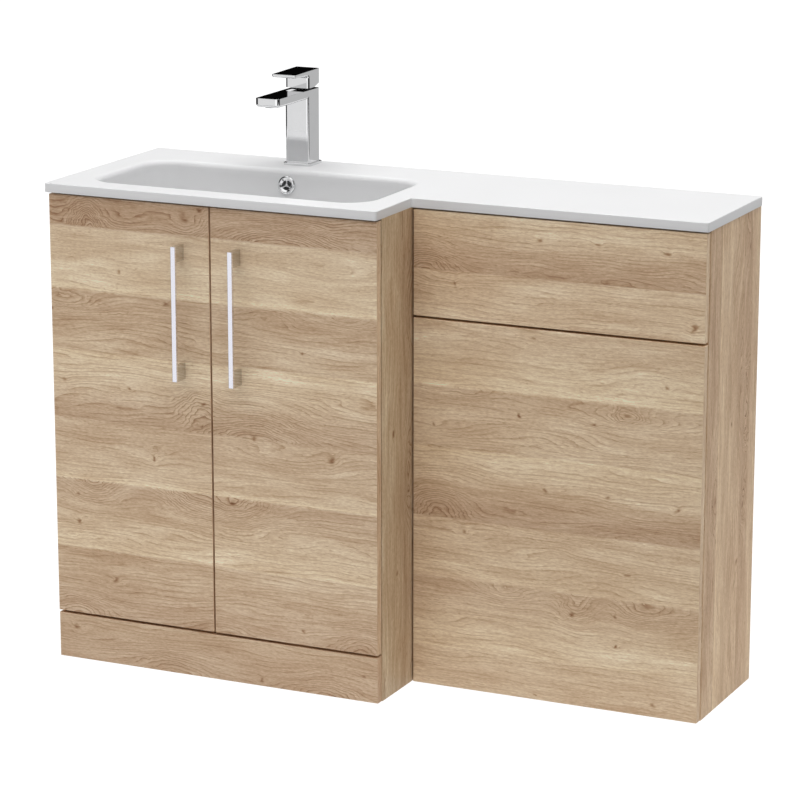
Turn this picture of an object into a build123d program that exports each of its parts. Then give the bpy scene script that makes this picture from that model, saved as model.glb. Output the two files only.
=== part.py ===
from build123d import *
import math
import os

os.makedirs("parts", exist_ok=True)

# ---------------------------------------------------------------------------
# Driving dimensions, millimetres. Inside this file X is measured to the right
# from the left edge of the basin top, Y from the wall (negative towards the
# front) and Z up from the floor. The datum below moves all of it so that the
# part's own origin is the bottom centre of its bounding box.
# ---------------------------------------------------------------------------
WIDTH = 1100.0            # basin top, left to right
STEP_X = 599.5            # where the basin top steps back
DEPTH_BASIN = 381.0       # basin top depth over the doors
DEPTH_WC = 251.0          # basin top depth over the cistern cabinet
TOP_Z = 808.0             # top face of the basin top
SLAB = 15.4               # edge thickness of the basin top
SLAB_Z = TOP_Z - SLAB     # its underside

BOARD = 15.0              # board thickness throughout
EDGE = 0.8                # eased board edges
GAP = 1.0                 # gap between door back and cabinet front

VAN_L, VAN_R = 5.0, 600.0             # basin cabinet outer faces
WC_R = 1098.4                         # cistern cabinet right face
DOOR_FACE = -377.5
DOOR_BACK = DOOR_FACE + BOARD
VAN_FRONT = DOOR_BACK + GAP           # front edges of the basin cabinet's boards
PANEL_FACE = -249.5
PANEL_BACK = PANEL_FACE + BOARD
WC_FRONT = PANEL_BACK + GAP
REVEAL = 1.5                          # doors stand in from the sides by this
MID_X = (VAN_L + VAN_R) / 2
DOOR_GAP = 3.0
DOOR_Z0, DOOR_Z1 = 81.0, 790.0
DOOR_X0, DOOR_X1 = MID_X + DOOR_GAP / 2, VAN_R - REVEAL    # right-hand door
PLINTH_Z = 76.6
BASE_Z = 76.0
SHELF_Z = 385.0
SPLIT_Z0, SPLIT_Z1 = 613.5, 617.5     # gap between the two front panels
PANEL_X0, PANEL_X1 = 602.4, 1097.4

HANDLE_OUT = 30.0         # handle projection
HANDLE_W = 8.0            # bar width
HANDLE_T = 5.0            # bar thickness
HANDLE_Z0, HANDLE_Z1 = 505.0, 727.0
HANDLE_POST = 26.0
HANDLE_X = 353.75         # right handle's centre line

BOWL_X0, BOWL_X1 = 52.5, 552.5        # bowl walls at the rim
BOWL_Y0, BOWL_Y1 = -330.0, -102.5
BOWL_R = 48.0
BOWL_RIM = 9.0            # rounding of the rim
BOWL_INSET = 14.0         # how far the walls lean in
BOWL_FLOOR = 700.0
BOWL_WALL = 8.0
WASTE_X, WASTE_Y = 300.5, -205.0
OVERFLOW_X, OVERFLOW_Z = 303.3, 782.0

TAP_X, TAP_Y = 299.4, -38.5
TAP_W = 43.4
TAP_TOP = 935.5
SPOUT_Y = -169.0
SPOUT_T = 15.0
LEVER_Y = -108.0
LEVER_PIVOT_Z = 930.0

DATUM = (-WIDTH / 2, (-DOOR_FACE + HANDLE_OUT) / 2, 0.0)


def plan(z, x=0.0, y=0.0):
    """Level plane at height z: local x right, local y towards the wall."""
    return Plane(origin=(DATUM[0] + x, DATUM[1] + y, z))


def front(y, x=0.0, z=0.0):
    """Upright plane facing forward at y: local x right, local y up."""
    return Plane(origin=(DATUM[0] + x, DATUM[1] + y, z), x_dir=(1, 0, 0), z_dir=(0, -1, 0))


def side(x, y=0.0, z=0.0):
    """Upright plane facing right at x: local x towards the wall, local y up."""
    return Plane(origin=(DATUM[0] + x, DATUM[1] + y, z), x_dir=(0, 1, 0), z_dir=(1, 0, 0))


def area(a0, a1, b0, b1):
    """A rectangle in the current sketch from its limits."""
    with Locations(((a0 + a1) / 2, (b0 + b1) / 2)):
        Rectangle(a1 - a0, b1 - b0)


CENTRE = side(MID_X)      # the two doors and their fittings mirror in this plane

# ---------------------------------------------------------------------------
# Joinery tables: dowel and cam places on the side panels, as (y, z).
# ---------------------------------------------------------------------------
DOWEL_R, DOWEL_IN, DOWEL_OUT = 4.0, 10.0, 20.0
CAM_R, CAM_T, CAM_IN = 7.5, 12.0, 24.0
BOLT_R = 3.0

VAN_IN_L, VAN_IN_R = VAN_L + BOARD, VAN_R - BOARD
WC_IN_L, WC_IN_R = VAN_R + BOARD, WC_R - BOARD

# upright rails: y of the front face, z low, z high
VAN_RAILS = {"front": (VAN_FRONT, 732.6, SLAB_Z), "back_top": (-BOARD, 692.6, SLAB_Z),
             "back_low": (-BOARD, BASE_Z + BOARD, BASE_Z + BOARD + 100)}
WC_RAILS = {"front_top": (WC_FRONT, 742.6, SLAB_Z), "front_mid": (WC_FRONT, 575.0, 655.0),
            "front_low": (WC_FRONT, 20.0, 80.0), "back_top": (-BOARD, 692.6, SLAB_Z),
            "back_low": (-BOARD, 100.0, 180.0)}


def rail_dowels(rails):
    out = []
    for y, z0, z1 in rails.values():
        for dz in (-16.0, 16.0):
            out.append((y + BOARD / 2, (z0 + z1) / 2 + dz))
    return out


def rail_bolts(rails):
    return [(y + BOARD / 2, (z0 + z1) / 2) for y, z0, z1 in rails.values()]


BASE_DOWELS = [(-300.0, BASE_Z + BOARD / 2), (-60.0, BASE_Z + BOARD / 2)]
BASE_BOLTS = [(-330.0, BASE_Z + BOARD / 2), (-90.0, BASE_Z + BOARD / 2)]
VAN_DOWELS = rail_dowels(VAN_RAILS) + BASE_DOWELS
VAN_BOLTS = rail_bolts(VAN_RAILS) + BASE_BOLTS
WC_DOWELS = rail_dowels(WC_RAILS)
WC_BOLTS = rail_bolts(WC_RAILS)

PIN_R, PIN_DEEP = 2.5, 8.0
SHELF_PINS = [(-320.0, SHELF_Z - 2.5), (-90.0, SHELF_Z - 2.5)]
PIN_ROWS = [(y, SHELF_Z - 2.5 + dz) for y in (-320.0, -90.0) for dz in (-64, -32, 32, 64)]

# concealed hinges, right-hand door: u to the right and v to the wall from the
# door's front outer corner
HINGE_Z = (181.0, 690.0)
HINGE_A = (-31.0, 13.0)       # link pivot on the arm
HINGE_B = (-9.0, 11.0)        # link pivot in the cup
CUP_U, CUP_R, CUP_DEEP = -21.5, 17.5, 11.5
CUP_WALL = 1.4
PLATE_V = 53.0                # mounting plate screws behind the door face
PLATE_SCREW = 16.0
SCREW_V = -31.0               # cup wing screws, u
SCREW_Z = 24.0
LINK_PIN_R = 1.5
RUN = 0.06                    # running clearance, radial

BRACKET_Z = 570.0
BRACKET_H = 20.0
CONNECT = [(-60.0, 480.0), (-200.0, 480.0), (-60.0, 250.0), (-200.0, 250.0)]
CONNECT_R = 2.5

HINGE_SCREW_PTS = [(DOOR_FACE + PLATE_V, z + dz) for z in HINGE_Z for dz in (-PLATE_SCREW, PLATE_SCREW)]

# ---------------------------------------------------------------------------
# Basin cabinet
# ---------------------------------------------------------------------------
with BuildPart() as vanity_side_right:
    with BuildSketch(plan(0)):
        area(VAN_IN_R, VAN_R, VAN_FRONT, 0)
    extrude(amount=SLAB_Z)
    fillet(vanity_side_right.edges().filter_by(Axis.Z), EDGE)
    with BuildSketch(side(VAN_IN_R)):
        with Locations(*VAN_DOWELS):
            Circle(DOWEL_R)
    extrude(amount=DOWEL_IN, mode=Mode.SUBTRACT)
    with BuildSketch(side(VAN_IN_R)):
        with Locations(*VAN_BOLTS):
            Circle(BOLT_R)
    extrude(amount=DOWEL_IN + 1, mode=Mode.SUBTRACT)
    with BuildSketch(side(VAN_IN_R)):
        with Locations(*(SHELF_PINS + PIN_ROWS)):
            Circle(PIN_R)
        with Locations(*HINGE_SCREW_PTS):
            Circle(2.5)
    extrude(amount=PIN_DEEP, mode=Mode.SUBTRACT)
    with BuildSketch(side(VAN_IN_R)):
        with Locations(*CONNECT):
            Circle(CONNECT_R)
    extrude(amount=BOARD, mode=Mode.SUBTRACT)
    with BuildSketch(side(VAN_IN_R)):
        with Locations((-12.0, BRACKET_Z), (-28.0, BRACKET_Z)):
            Circle(1.75)
    extrude(amount=12, mode=Mode.SUBTRACT)
vanity_side_right.part.label = "vanity_side_right"
export_step(vanity_side_right.part, "parts/vanity_side_right.step")

with BuildPart() as vanity_side_left:
    with BuildSketch(plan(0)):
        area(VAN_L, VAN_IN_L, VAN_FRONT, 0)
    extrude(amount=SLAB_Z)
    fillet(vanity_side_left.edges().filter_by(Axis.Z), EDGE)
    with BuildSketch(side(VAN_IN_L)):
        with Locations(*VAN_DOWELS):
            Circle(DOWEL_R)
    extrude(amount=-DOWEL_IN, mode=Mode.SUBTRACT)
    with BuildSketch(side(VAN_IN_L)):
        with Locations(*VAN_BOLTS):
            Circle(BOLT_R)
    extrude(amount=-(DOWEL_IN + 1), mode=Mode.SUBTRACT)
    with BuildSketch(side(VAN_IN_L)):
        with Locations(*(SHELF_PINS + PIN_ROWS)):
            Circle(PIN_R)
        with Locations(*HINGE_SCREW_PTS):
            Circle(2.5)
    extrude(amount=-PIN_DEEP, mode=Mode.SUBTRACT)
    with BuildSketch(side(VAN_IN_L)):
        with Locations((-12.0, BRACKET_Z), (-28.0, BRACKET_Z)):
            Circle(1.75)
    extrude(amount=-12, mode=Mode.SUBTRACT)
vanity_side_left.part.label = "vanity_side_left"
export_step(vanity_side_left.part, "parts/vanity_side_left.step")

with BuildPart() as vanity_base:
    with BuildSketch(plan(BASE_Z)):
        area(VAN_IN_L, VAN_IN_R, VAN_FRONT, 0)
    extrude(amount=BOARD)
    with BuildSketch(side(VAN_IN_L)):
        with Locations(*BASE_DOWELS):
            Circle(DOWEL_R)
    extrude(amount=DOWEL_OUT, mode=Mode.SUBTRACT)
    with BuildSketch(side(VAN_IN_R)):
        with Locations(*BASE_DOWELS):
            Circle(DOWEL_R)
    extrude(amount=-DOWEL_OUT, mode=Mode.SUBTRACT)
    with BuildSketch(side(VAN_IN_L)):
        with Locations(*BASE_BOLTS):
            Circle(BOLT_R)
    extrude(amount=CAM_IN, mode=Mode.SUBTRACT)
    with BuildSketch(side(VAN_IN_R)):
        with Locations(*BASE_BOLTS):
            Circle(BOLT_R)
    extrude(amount=-CAM_IN, mode=Mode.SUBTRACT)
    with BuildSketch(plan(BASE_Z)):
        with Locations(*[(x, y) for x in (VAN_IN_L + CAM_IN, VAN_IN_R - CAM_IN) for y, z in BASE_BOLTS]):
            Circle(CAM_R)
    extrude(amount=CAM_T, mode=Mode.SUBTRACT)
vanity_base.part.label = "vanity_base"
export_step(vanity_base.part, "parts/vanity_base.step")


def rail_body(x0, x1, rail, hidden_back):
    """Rail between two sides, with its dowel, bolt and cam holes, in the current part."""
    y, z0, z1 = rail
    zc, yc = (z0 + z1) / 2, y + BOARD / 2
    with BuildSketch(front(y)) as face:
        area(x0, x1, z0, z1)
    extrude(to_extrude=face.sketch, amount=-BOARD, mode=Mode.ADD)
    with BuildSketch(side(x0)) as ends:
        with Locations((yc, zc - 16.0), (yc, zc + 16.0)):
            Circle(DOWEL_R)
    extrude(to_extrude=ends.sketch, amount=DOWEL_OUT, mode=Mode.SUBTRACT)
    with BuildSketch(side(x1)) as ends:
        with Locations((yc, zc - 16.0), (yc, zc + 16.0)):
            Circle(DOWEL_R)
    extrude(to_extrude=ends.sketch, amount=-DOWEL_OUT, mode=Mode.SUBTRACT)
    with BuildSketch(side(x0)) as ends:
        with Locations((yc, zc)):
            Circle(BOLT_R)
    extrude(to_extrude=ends.sketch, amount=CAM_IN, mode=Mode.SUBTRACT)
    with BuildSketch(side(x1)) as ends:
        with Locations((yc, zc)):
            Circle(BOLT_R)
    extrude(to_extrude=ends.sketch, amount=-CAM_IN, mode=Mode.SUBTRACT)
    # cams sit in the face that is hidden in use
    with BuildSketch(front(y + BOARD) if hidden_back else front(y)) as cams:
        with Locations((x0 + CAM_IN, zc), (x1 - CAM_IN, zc)):
            Circle(CAM_R)
    extrude(to_extrude=cams.sketch, amount=CAM_T if hidden_back else -CAM_T, mode=Mode.SUBTRACT)


with BuildPart() as vanity_front_rail:
    rail_body(VAN_IN_L, VAN_IN_R, VAN_RAILS["front"], True)
vanity_front_rail.part.label = "vanity_front_rail"
export_step(vanity_front_rail.part, "parts/vanity_front_rail.step")

with BuildPart() as vanity_back_rail_upper:
    rail_body(VAN_IN_L, VAN_IN_R, VAN_RAILS["back_top"], True)
vanity_back_rail_upper.part.label = "vanity_back_rail_upper"
export_step(vanity_back_rail_upper.part, "parts/vanity_back_rail_upper.step")

with BuildPart() as vanity_back_rail_lower:
    rail_body(VAN_IN_L, VAN_IN_R, VAN_RAILS["back_low"], True)
vanity_back_rail_lower.part.label = "vanity_back_rail_lower"
export_step(vanity_back_rail_lower.part, "parts/vanity_back_rail_lower.step")

with BuildPart() as vanity_shelf:
    with BuildSketch(plan(SHELF_Z)):
        area(VAN_IN_L + 1, VAN_IN_R - 1, -345, -40)
    extrude(amount=BOARD)
    fillet(vanity_shelf.edges().filter_by(Axis.X).group_by(Axis.Y)[0], EDGE)
vanity_shelf.part.label = "vanity_shelf"
export_step(vanity_shelf.part, "parts/vanity_shelf.step")

with BuildPart() as shelf_pins:
    with BuildSketch(side(VAN_IN_L - PIN_DEEP)):
        with Locations(*SHELF_PINS):
            Circle(PIN_R)
    extrude(amount=PIN_DEEP + 8)
    with BuildSketch(side(VAN_IN_R + PIN_DEEP)):
        with Locations(*SHELF_PINS):
            Circle(PIN_R)
    extrude(amount=-(PIN_DEEP + 8))
    with BuildSketch(side(VAN_IN_L)):
        with Locations(*SHELF_PINS):
            Circle(4.0)
    extrude(amount=0.9)
    with BuildSketch(side(VAN_IN_R)):
        with Locations(*SHELF_PINS):
            Circle(4.0)
    extrude(amount=-0.9)
    # the collars are cut level with the underside of the shelf
    with BuildSketch(plan(SHELF_Z)):
        area(0, 620, -360, 0)
    extrude(amount=10, mode=Mode.SUBTRACT)
shelf_pins.part.label = "shelf_pins"
export_step(shelf_pins.part, "parts/shelf_pins.step")

with BuildPart() as plinth_panel:
    with BuildSketch(front(VAN_FRONT)):
        area(VAN_L + REVEAL, VAN_R - REVEAL, 0, PLINTH_Z)
    extrude(amount=BOARD)
    fillet(plinth_panel.edges().filter_by(Axis.X) + plinth_panel.edges().filter_by(Axis.Z), EDGE)
    for x in (VAN_IN_L, VAN_IN_R - 24):
        with BuildSketch(front(VAN_FRONT, x=x)):
            with Locations((12, 25), (12, 51)):
                Circle(1.75)
        extrude(amount=11, mode=Mode.SUBTRACT)
plinth_panel.part.label = "plinth_panel"
export_step(plinth_panel.part, "parts/plinth_panel.step")

with BuildPart() as plinth_blocks:
    for x in (VAN_IN_L, VAN_IN_R - 24):
        with BuildSketch(plan(18)):
            area(x, x + 24, VAN_FRONT, VAN_FRONT + 24)
        extrude(amount=40)
    chamfer(plinth_blocks.edges().filter_by(Axis.X), 1.0)
    for x in (VAN_IN_L, VAN_IN_R - 24):
        with BuildSketch(front(VAN_FRONT, x=x)):
            with Locations((12, 25), (12, 51)):
                Circle(1.75)
        extrude(amount=-24, mode=Mode.SUBTRACT)
        with BuildSketch(front(VAN_FRONT + 24, x=x)):
            with Locations((12, 25), (12, 51)):
                Circle(4.0)
        extrude(amount=4, mode=Mode.SUBTRACT)
plinth_blocks.part.label = "plinth_blocks"
export_step(plinth_blocks.part, "parts/plinth_blocks.step")

# ---------------------------------------------------------------------------
# Cistern cabinet
# ---------------------------------------------------------------------------
with BuildPart() as wc_side_left:
    with BuildSketch(plan(0)):
        area(VAN_R, WC_IN_L, WC_FRONT, 0)
    extrude(amount=SLAB_Z)
    fillet(wc_side_left.edges().filter_by(Axis.Z), EDGE)
    with BuildSketch(side(WC_IN_L)):
        with Locations(*WC_DOWELS):
            Circle(DOWEL_R)
    extrude(amount=-DOWEL_IN, mode=Mode.SUBTRACT)
    with BuildSketch(side(WC_IN_L)):
        with Locations(*WC_BOLTS):
            Circle(BOLT_R)
    extrude(amount=-(DOWEL_IN + 1), mode=Mode.SUBTRACT)
    with BuildSketch(side(WC_IN_L)):
        with Locations(*CONNECT):
            Circle(CONNECT_R)
    extrude(amount=-BOARD, mode=Mode.SUBTRACT)
    with BuildSketch(side(WC_IN_L)):
        with Locations((-12.0, BRACKET_Z), (-28.0, BRACKET_Z)):
            Circle(1.75)
    extrude(amount=-12, mode=Mode.SUBTRACT)
wc_side_left.part.label = "wc_side_left"
export_step(wc_side_left.part, "parts/wc_side_left.step")

with BuildPart() as wc_side_right:
    with BuildSketch(plan(0)):
        area(WC_IN_R, WC_R, WC_FRONT, 0)
    extrude(amount=SLAB_Z)
    fillet(wc_side_right.edges().filter_by(Axis.Z), EDGE)
    with BuildSketch(side(WC_IN_R)):
        with Locations(*WC_DOWELS):
            Circle(DOWEL_R)
    extrude(amount=DOWEL_IN, mode=Mode.SUBTRACT)
    with BuildSketch(side(WC_IN_R)):
        with Locations(*WC_BOLTS):
            Circle(BOLT_R)
    extrude(amount=DOWEL_IN + 1, mode=Mode.SUBTRACT)
    with BuildSketch(side(WC_IN_R)):
        with Locations((-12.0, BRACKET_Z), (-28.0, BRACKET_Z)):
            Circle(1.75)
    extrude(amount=12, mode=Mode.SUBTRACT)
wc_side_right.part.label = "wc_side_right"
export_step(wc_side_right.part, "parts/wc_side_right.step")

# ball studs of the access panel and screws of the lower panel, as (x, z)
STUDS = [(700.0, 765.0), (1000.0, 765.0), (700.0, 640.0), (1000.0, 640.0)]
PANEL_SCREWS = [(680.0, 595.0), (850.0, 595.0), (1020.0, 595.0), (680.0, 50.0), (850.0, 50.0), (1020.0, 50.0)]
SOCKET_R, SOCKET_DEEP = 6.0, 12.0

with BuildPart() as wc_front_rail_upper:
    rail_body(WC_IN_L, WC_IN_R, WC_RAILS["front_top"], True)
    with BuildSketch(front(WC_FRONT)):
        with Locations(*[p for p in STUDS if p[1] > 700]):
            Circle(SOCKET_R)
    extrude(amount=-SOCKET_DEEP, mode=Mode.SUBTRACT)
wc_front_rail_upper.part.label = "wc_front_rail_upper"
export_step(wc_front_rail_upper.part, "parts/wc_front_rail_upper.step")

with BuildPart() as wc_front_rail_middle:
    rail_body(WC_IN_L, WC_IN_R, WC_RAILS["front_mid"], True)
    with BuildSketch(front(WC_FRONT)):
        with Locations(*[p for p in STUDS if p[1] < 700]):
            Circle(SOCKET_R)
    extrude(amount=-SOCKET_DEEP, mode=Mode.SUBTRACT)
    with BuildSketch(front(WC_FRONT)):
        with Locations(*[p for p in PANEL_SCREWS if p[1] > 300]):
            Circle(2.0)
    extrude(amount=-BOARD, mode=Mode.SUBTRACT)
wc_front_rail_middle.part.label = "wc_front_rail_middle"
export_step(wc_front_rail_middle.part, "parts/wc_front_rail_middle.step")

with BuildPart() as wc_front_rail_lower:
    rail_body(WC_IN_L, WC_IN_R, WC_RAILS["front_low"], True)
    with BuildSketch(front(WC_FRONT)):
        with Locations(*[p for p in PANEL_SCREWS if p[1] < 300]):
            Circle(2.0)
    extrude(amount=-BOARD, mode=Mode.SUBTRACT)
wc_front_rail_lower.part.label = "wc_front_rail_lower"
export_step(wc_front_rail_lower.part, "parts/wc_front_rail_lower.step")

with BuildPart() as wc_back_rails:
    rail_body(WC_IN_L, WC_IN_R, WC_RAILS["back_top"], True)
    rail_body(WC_IN_L, WC_IN_R, WC_RAILS["back_low"], True)
wc_back_rails.part.label = "wc_back_rails"
export_step(wc_back_rails.part, "parts/wc_back_rails.step")

with BuildPart() as wc_front_panel:
    with BuildSketch(front(PANEL_BACK)):
        area(PANEL_X0, PANEL_X1, 0, SPLIT_Z0)
    extrude(amount=BOARD)
    fillet(wc_front_panel.edges(), EDGE)
    with BuildSketch(front(PANEL_BACK)):
        with Locations(*PANEL_SCREWS):
            Circle(2.0)
    extrude(amount=11, mode=Mode.SUBTRACT)
wc_front_panel.part.label = "wc_front_panel"
export_step(wc_front_panel.part, "parts/wc_front_panel.step")

with BuildPart() as wc_panel_screws:
    with BuildSketch(front(WC_FRONT + BOARD)):
        with Locations(*PANEL_SCREWS):
            Circle(2.0)
    extrude(amount=BOARD + GAP + 11)
    with BuildSketch(front(WC_FRONT + BOARD)):
        with Locations(*PANEL_SCREWS):
            Circle(4.0)
    extrude(amount=-2.4)
    fillet(wc_panel_screws.edges().group_by(Axis.Y)[-1], 1.4)
    with BuildSketch(front(WC_FRONT + BOARD + 2.4)):
        with Locations(*PANEL_SCREWS):
            Rectangle(3.6, 0.9)
            Rectangle(0.9, 3.6)
    extrude(amount=1.4, mode=Mode.SUBTRACT)
wc_panel_screws.part.label = "wc_panel_screws"
export_step(wc_panel_screws.part, "parts/wc_panel_screws.step")

with BuildPart() as wc_access_panel:
    with BuildSketch(front(PANEL_BACK)):
        area(PANEL_X0, PANEL_X1, SPLIT_Z1, DOOR_Z1)
    extrude(amount=BOARD)
    fillet(wc_access_panel.edges(), EDGE)
    with BuildSketch(front(PANEL_BACK)):
        with Locations(*STUDS):
            Circle(2.0)
    extrude(amount=10, mode=Mode.SUBTRACT)
wc_access_panel.part.label = "wc_access_panel"
export_step(wc_access_panel.part, "parts/wc_access_panel.step")

with BuildPart() as access_panel_studs:
    with BuildSketch(front(PANEL_BACK)):
        with Locations(*STUDS):
            Circle(2.0)
    extrude(amount=10)
    with BuildSketch(front(PANEL_BACK)):
        with Locations(*STUDS):
            Circle(1.6)
    extrude(amount=-(GAP + 5))
    with Locations(*[(DATUM[0] + x, DATUM[1] + PANEL_BACK + GAP + 6.0, z) for x, z in STUDS]):
        Sphere(3.0)
access_panel_studs.part.label = "access_panel_studs"
export_step(access_panel_studs.part, "parts/access_panel_studs.step")

with BuildPart() as access_panel_sockets:
    with BuildSketch(front(WC_FRONT)):
        with Locations(*STUDS):
            Circle(SOCKET_R)
    extrude(amount=-SOCKET_DEEP)
    with BuildSketch(front(WC_FRONT)):
        with Locations(*STUDS):
            Circle(3.3)
    extrude(amount=-10.5, mode=Mode.SUBTRACT)
access_panel_sockets.part.label = "access_panel_sockets"
export_step(access_panel_sockets.part, "parts/access_panel_sockets.step")

# ---------------------------------------------------------------------------
# Joinery and fixings
# ---------------------------------------------------------------------------
with BuildPart() as wooden_dowels:
    for x, pts in ((VAN_IN_L, VAN_DOWELS), (WC_IN_L, WC_DOWELS)):
        with BuildSketch(side(x - DOWEL_IN)):
            with Locations(*pts):
                Circle(DOWEL_R)
        extrude(amount=DOWEL_IN + DOWEL_OUT)
    for x, pts in ((VAN_IN_R, VAN_DOWELS), (WC_IN_R, WC_DOWELS)):
        with BuildSketch(side(x - DOWEL_OUT)):
            with Locations(*pts):
                Circle(DOWEL_R)
        extrude(amount=DOWEL_IN + DOWEL_OUT)
    chamfer(wooden_dowels.edges().filter_by(GeomType.CIRCLE), 0.8)
wooden_dowels.part.label = "wooden_dowels"
export_step(wooden_dowels.part, "parts/wooden_dowels.step")

# cam bolts reach from the side panel into the cam, cams have a bore to take them
with BuildPart() as cam_bolts:
    for x, sgn, pts in ((VAN_IN_L, 1, VAN_BOLTS), (WC_IN_L, 1, WC_BOLTS),
                        (VAN_IN_R, -1, VAN_BOLTS), (WC_IN_R, -1, WC_BOLTS)):
        with BuildSketch(side(x - sgn * (DOWEL_IN + 1))):
            with Locations(*pts):
                Circle(BOLT_R)
        extrude(amount=sgn * (DOWEL_IN + 1 + CAM_IN - 1))
cam_bolts.part.label = "cam_bolts"
export_step(cam_bolts.part, "parts/cam_bolts.step")

with BuildPart() as cam_locks:
    for x0, x1, rails in ((VAN_IN_L, VAN_IN_R, VAN_RAILS), (WC_IN_L, WC_IN_R, WC_RAILS)):
        for y, z0, z1 in rails.values():
            with BuildSketch(front(y + BOARD)):
                with Locations((x0 + CAM_IN, (z0 + z1) / 2), (x1 - CAM_IN, (z0 + z1) / 2)):
                    Circle(CAM_R)
            extrude(amount=CAM_T)
            with BuildSketch(front(y + BOARD)):
                with Locations((x0 + CAM_IN, (z0 + z1) / 2), (x1 - CAM_IN, (z0 + z1) / 2)):
                    Rectangle(8, 1.4)
                    Rectangle(1.4, 8)
            extrude(amount=2, mode=Mode.SUBTRACT)
    with BuildSketch(plan(BASE_Z)):
        with Locations(*[(x, y) for x in (VAN_IN_L + CAM_IN, VAN_IN_R - CAM_IN) for y, z in BASE_BOLTS]):
            Circle(CAM_R)
    extrude(amount=CAM_T)
    for x, sgn, pts in ((VAN_IN_L, 1, VAN_BOLTS), (WC_IN_L, 1, WC_BOLTS),
                        (VAN_IN_R, -1, VAN_BOLTS), (WC_IN_R, -1, WC_BOLTS)):
        with BuildSketch(side(x)):
            with Locations(*pts):
                Circle(BOLT_R)
        extrude(amount=sgn * (CAM_IN - 1), mode=Mode.SUBTRACT)
cam_locks.part.label = "cam_locks"
export_step(cam_locks.part, "parts/cam_locks.step")

# angle brackets that hold the cabinets to the wall: (inner face x, direction inwards)
BRACKETS = ((VAN_IN_L, 1), (VAN_IN_R, -1), (WC_IN_L, 1), (WC_IN_R, -1))
BRACKET_LEG, BRACKET_T = 38.0, 2.0
WALL_HOLE_R = 3.0
WALL_HOLE_X = 24.0
with BuildPart() as wall_brackets:
    for x, sgn in BRACKETS:
        with BuildSketch(plan(BRACKET_Z - BRACKET_H / 2)):
            area(min(x, x + sgn * BRACKET_T), max(x, x + sgn * BRACKET_T), -BRACKET_LEG, 0)
            area(min(x, x + sgn * BRACKET_LEG), max(x, x + sgn * BRACKET_LEG), -BRACKET_T, 0)
        extrude(amount=BRACKET_H)
        with BuildSketch(front(0)):
            with Locations((x + sgn * WALL_HOLE_X, BRACKET_Z)):
                Circle(WALL_HOLE_R)
        extrude(amount=BRACKET_T, mode=Mode.SUBTRACT)
        with BuildSketch(side(x)):
            with Locations((-12.0, BRACKET_Z), (-28.0, BRACKET_Z)):
                Circle(1.75)
        extrude(amount=sgn * BRACKET_T, mode=Mode.SUBTRACT)
wall_brackets.part.label = "wall_brackets"
export_step(wall_brackets.part, "parts/wall_brackets.step")

with BuildPart() as bracket_screws:
    for x, sgn in BRACKETS:
        with BuildSketch(side(x - sgn * 12)):
            with Locations((-12.0, BRACKET_Z), (-28.0, BRACKET_Z)):
                Circle(1.75)
        extrude(amount=sgn * (12 + BRACKET_T))
        with BuildSketch(side(x + sgn * BRACKET_T)):
            with Locations((-12.0, BRACKET_Z), (-28.0, BRACKET_Z)):
                Circle(3.6)
        extrude(amount=sgn * 2.2)
        with BuildSketch(side(x + sgn * (BRACKET_T + 2.2))):
            with Locations((-12.0, BRACKET_Z), (-28.0, BRACKET_Z)):
                Rectangle(3.4, 0.8)
                Rectangle(0.8, 3.4)
        extrude(amount=-sgn * 1.4, mode=Mode.SUBTRACT)
    for x in (VAN_IN_L, VAN_IN_R - 24):
        with BuildSketch(front(VAN_FRONT + 20, x=x)):
            with Locations((12, 25), (12, 51)):
                Circle(3.6)
        extrude(amount=-2.2)
        with BuildSketch(front(VAN_FRONT + 20, x=x)):
            with Locations((12, 25), (12, 51)):
                Circle(1.75)
        extrude(amount=20 + 11)
bracket_screws.part.label = "bracket_screws"
export_step(bracket_screws.part, "parts/bracket_screws.step")

# sleeve bolts that pull the two cabinets together
with BuildPart() as cabinet_connectors:
    with BuildSketch(side(VAN_IN_R)):
        with Locations(*CONNECT):
            Circle(CONNECT_R)
    extrude(amount=2 * BOARD)
    for x, sgn in ((VAN_IN_R, -1), (WC_IN_L, 1)):
        with BuildSketch(side(x)):
            with Locations(*CONNECT):
                Circle(7)
        extrude(amount=sgn * 1.6)
        with BuildSketch(side(x + sgn * 1.6)):
            with Locations(*CONNECT):
                Rectangle(5, 1.0)
                Rectangle(1.0, 5)
        extrude(amount=-sgn * 1.0, mode=Mode.SUBTRACT)
cabinet_connectors.part.label = "cabinet_connectors"
export_step(cabinet_connectors.part, "parts/cabinet_connectors.step")

# soft buffers: small ones behind the doors' free corners, pads behind the lower front panel
BUFFERS = [(x, z) for x in (MID_X - 25, MID_X + 25) for z in (DOOR_Z0 + 5, DOOR_Z1 - 12)]
with BuildPart() as soft_buffers:
    with BuildSketch(front(VAN_FRONT)):
        with Locations(*BUFFERS):
            Circle(4.0)
    extrude(amount=GAP - 0.2)
    with BuildSketch(front(WC_FRONT)):
        with Locations(*PANEL_SCREWS):
            Circle(8)
        with Locations(*PANEL_SCREWS):
            Circle(2, mode=Mode.SUBTRACT)
    extrude(amount=GAP)
soft_buffers.part.label = "soft_buffers"
export_step(soft_buffers.part, "parts/soft_buffers.step")

# ---------------------------------------------------------------------------
# Doors, handles and hinges. The right-hand set is modelled, the left-hand set
# is its mirror image.
# ---------------------------------------------------------------------------
HANDLE_SCREW_Z = (HANDLE_Z0 + 15.0, HANDLE_Z1 - 15.0)


def corner(z):
    """Level plane at z with its origin at the right door's front outer corner."""
    return plan(z, DOOR_X1, DOOR_FACE)


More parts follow.
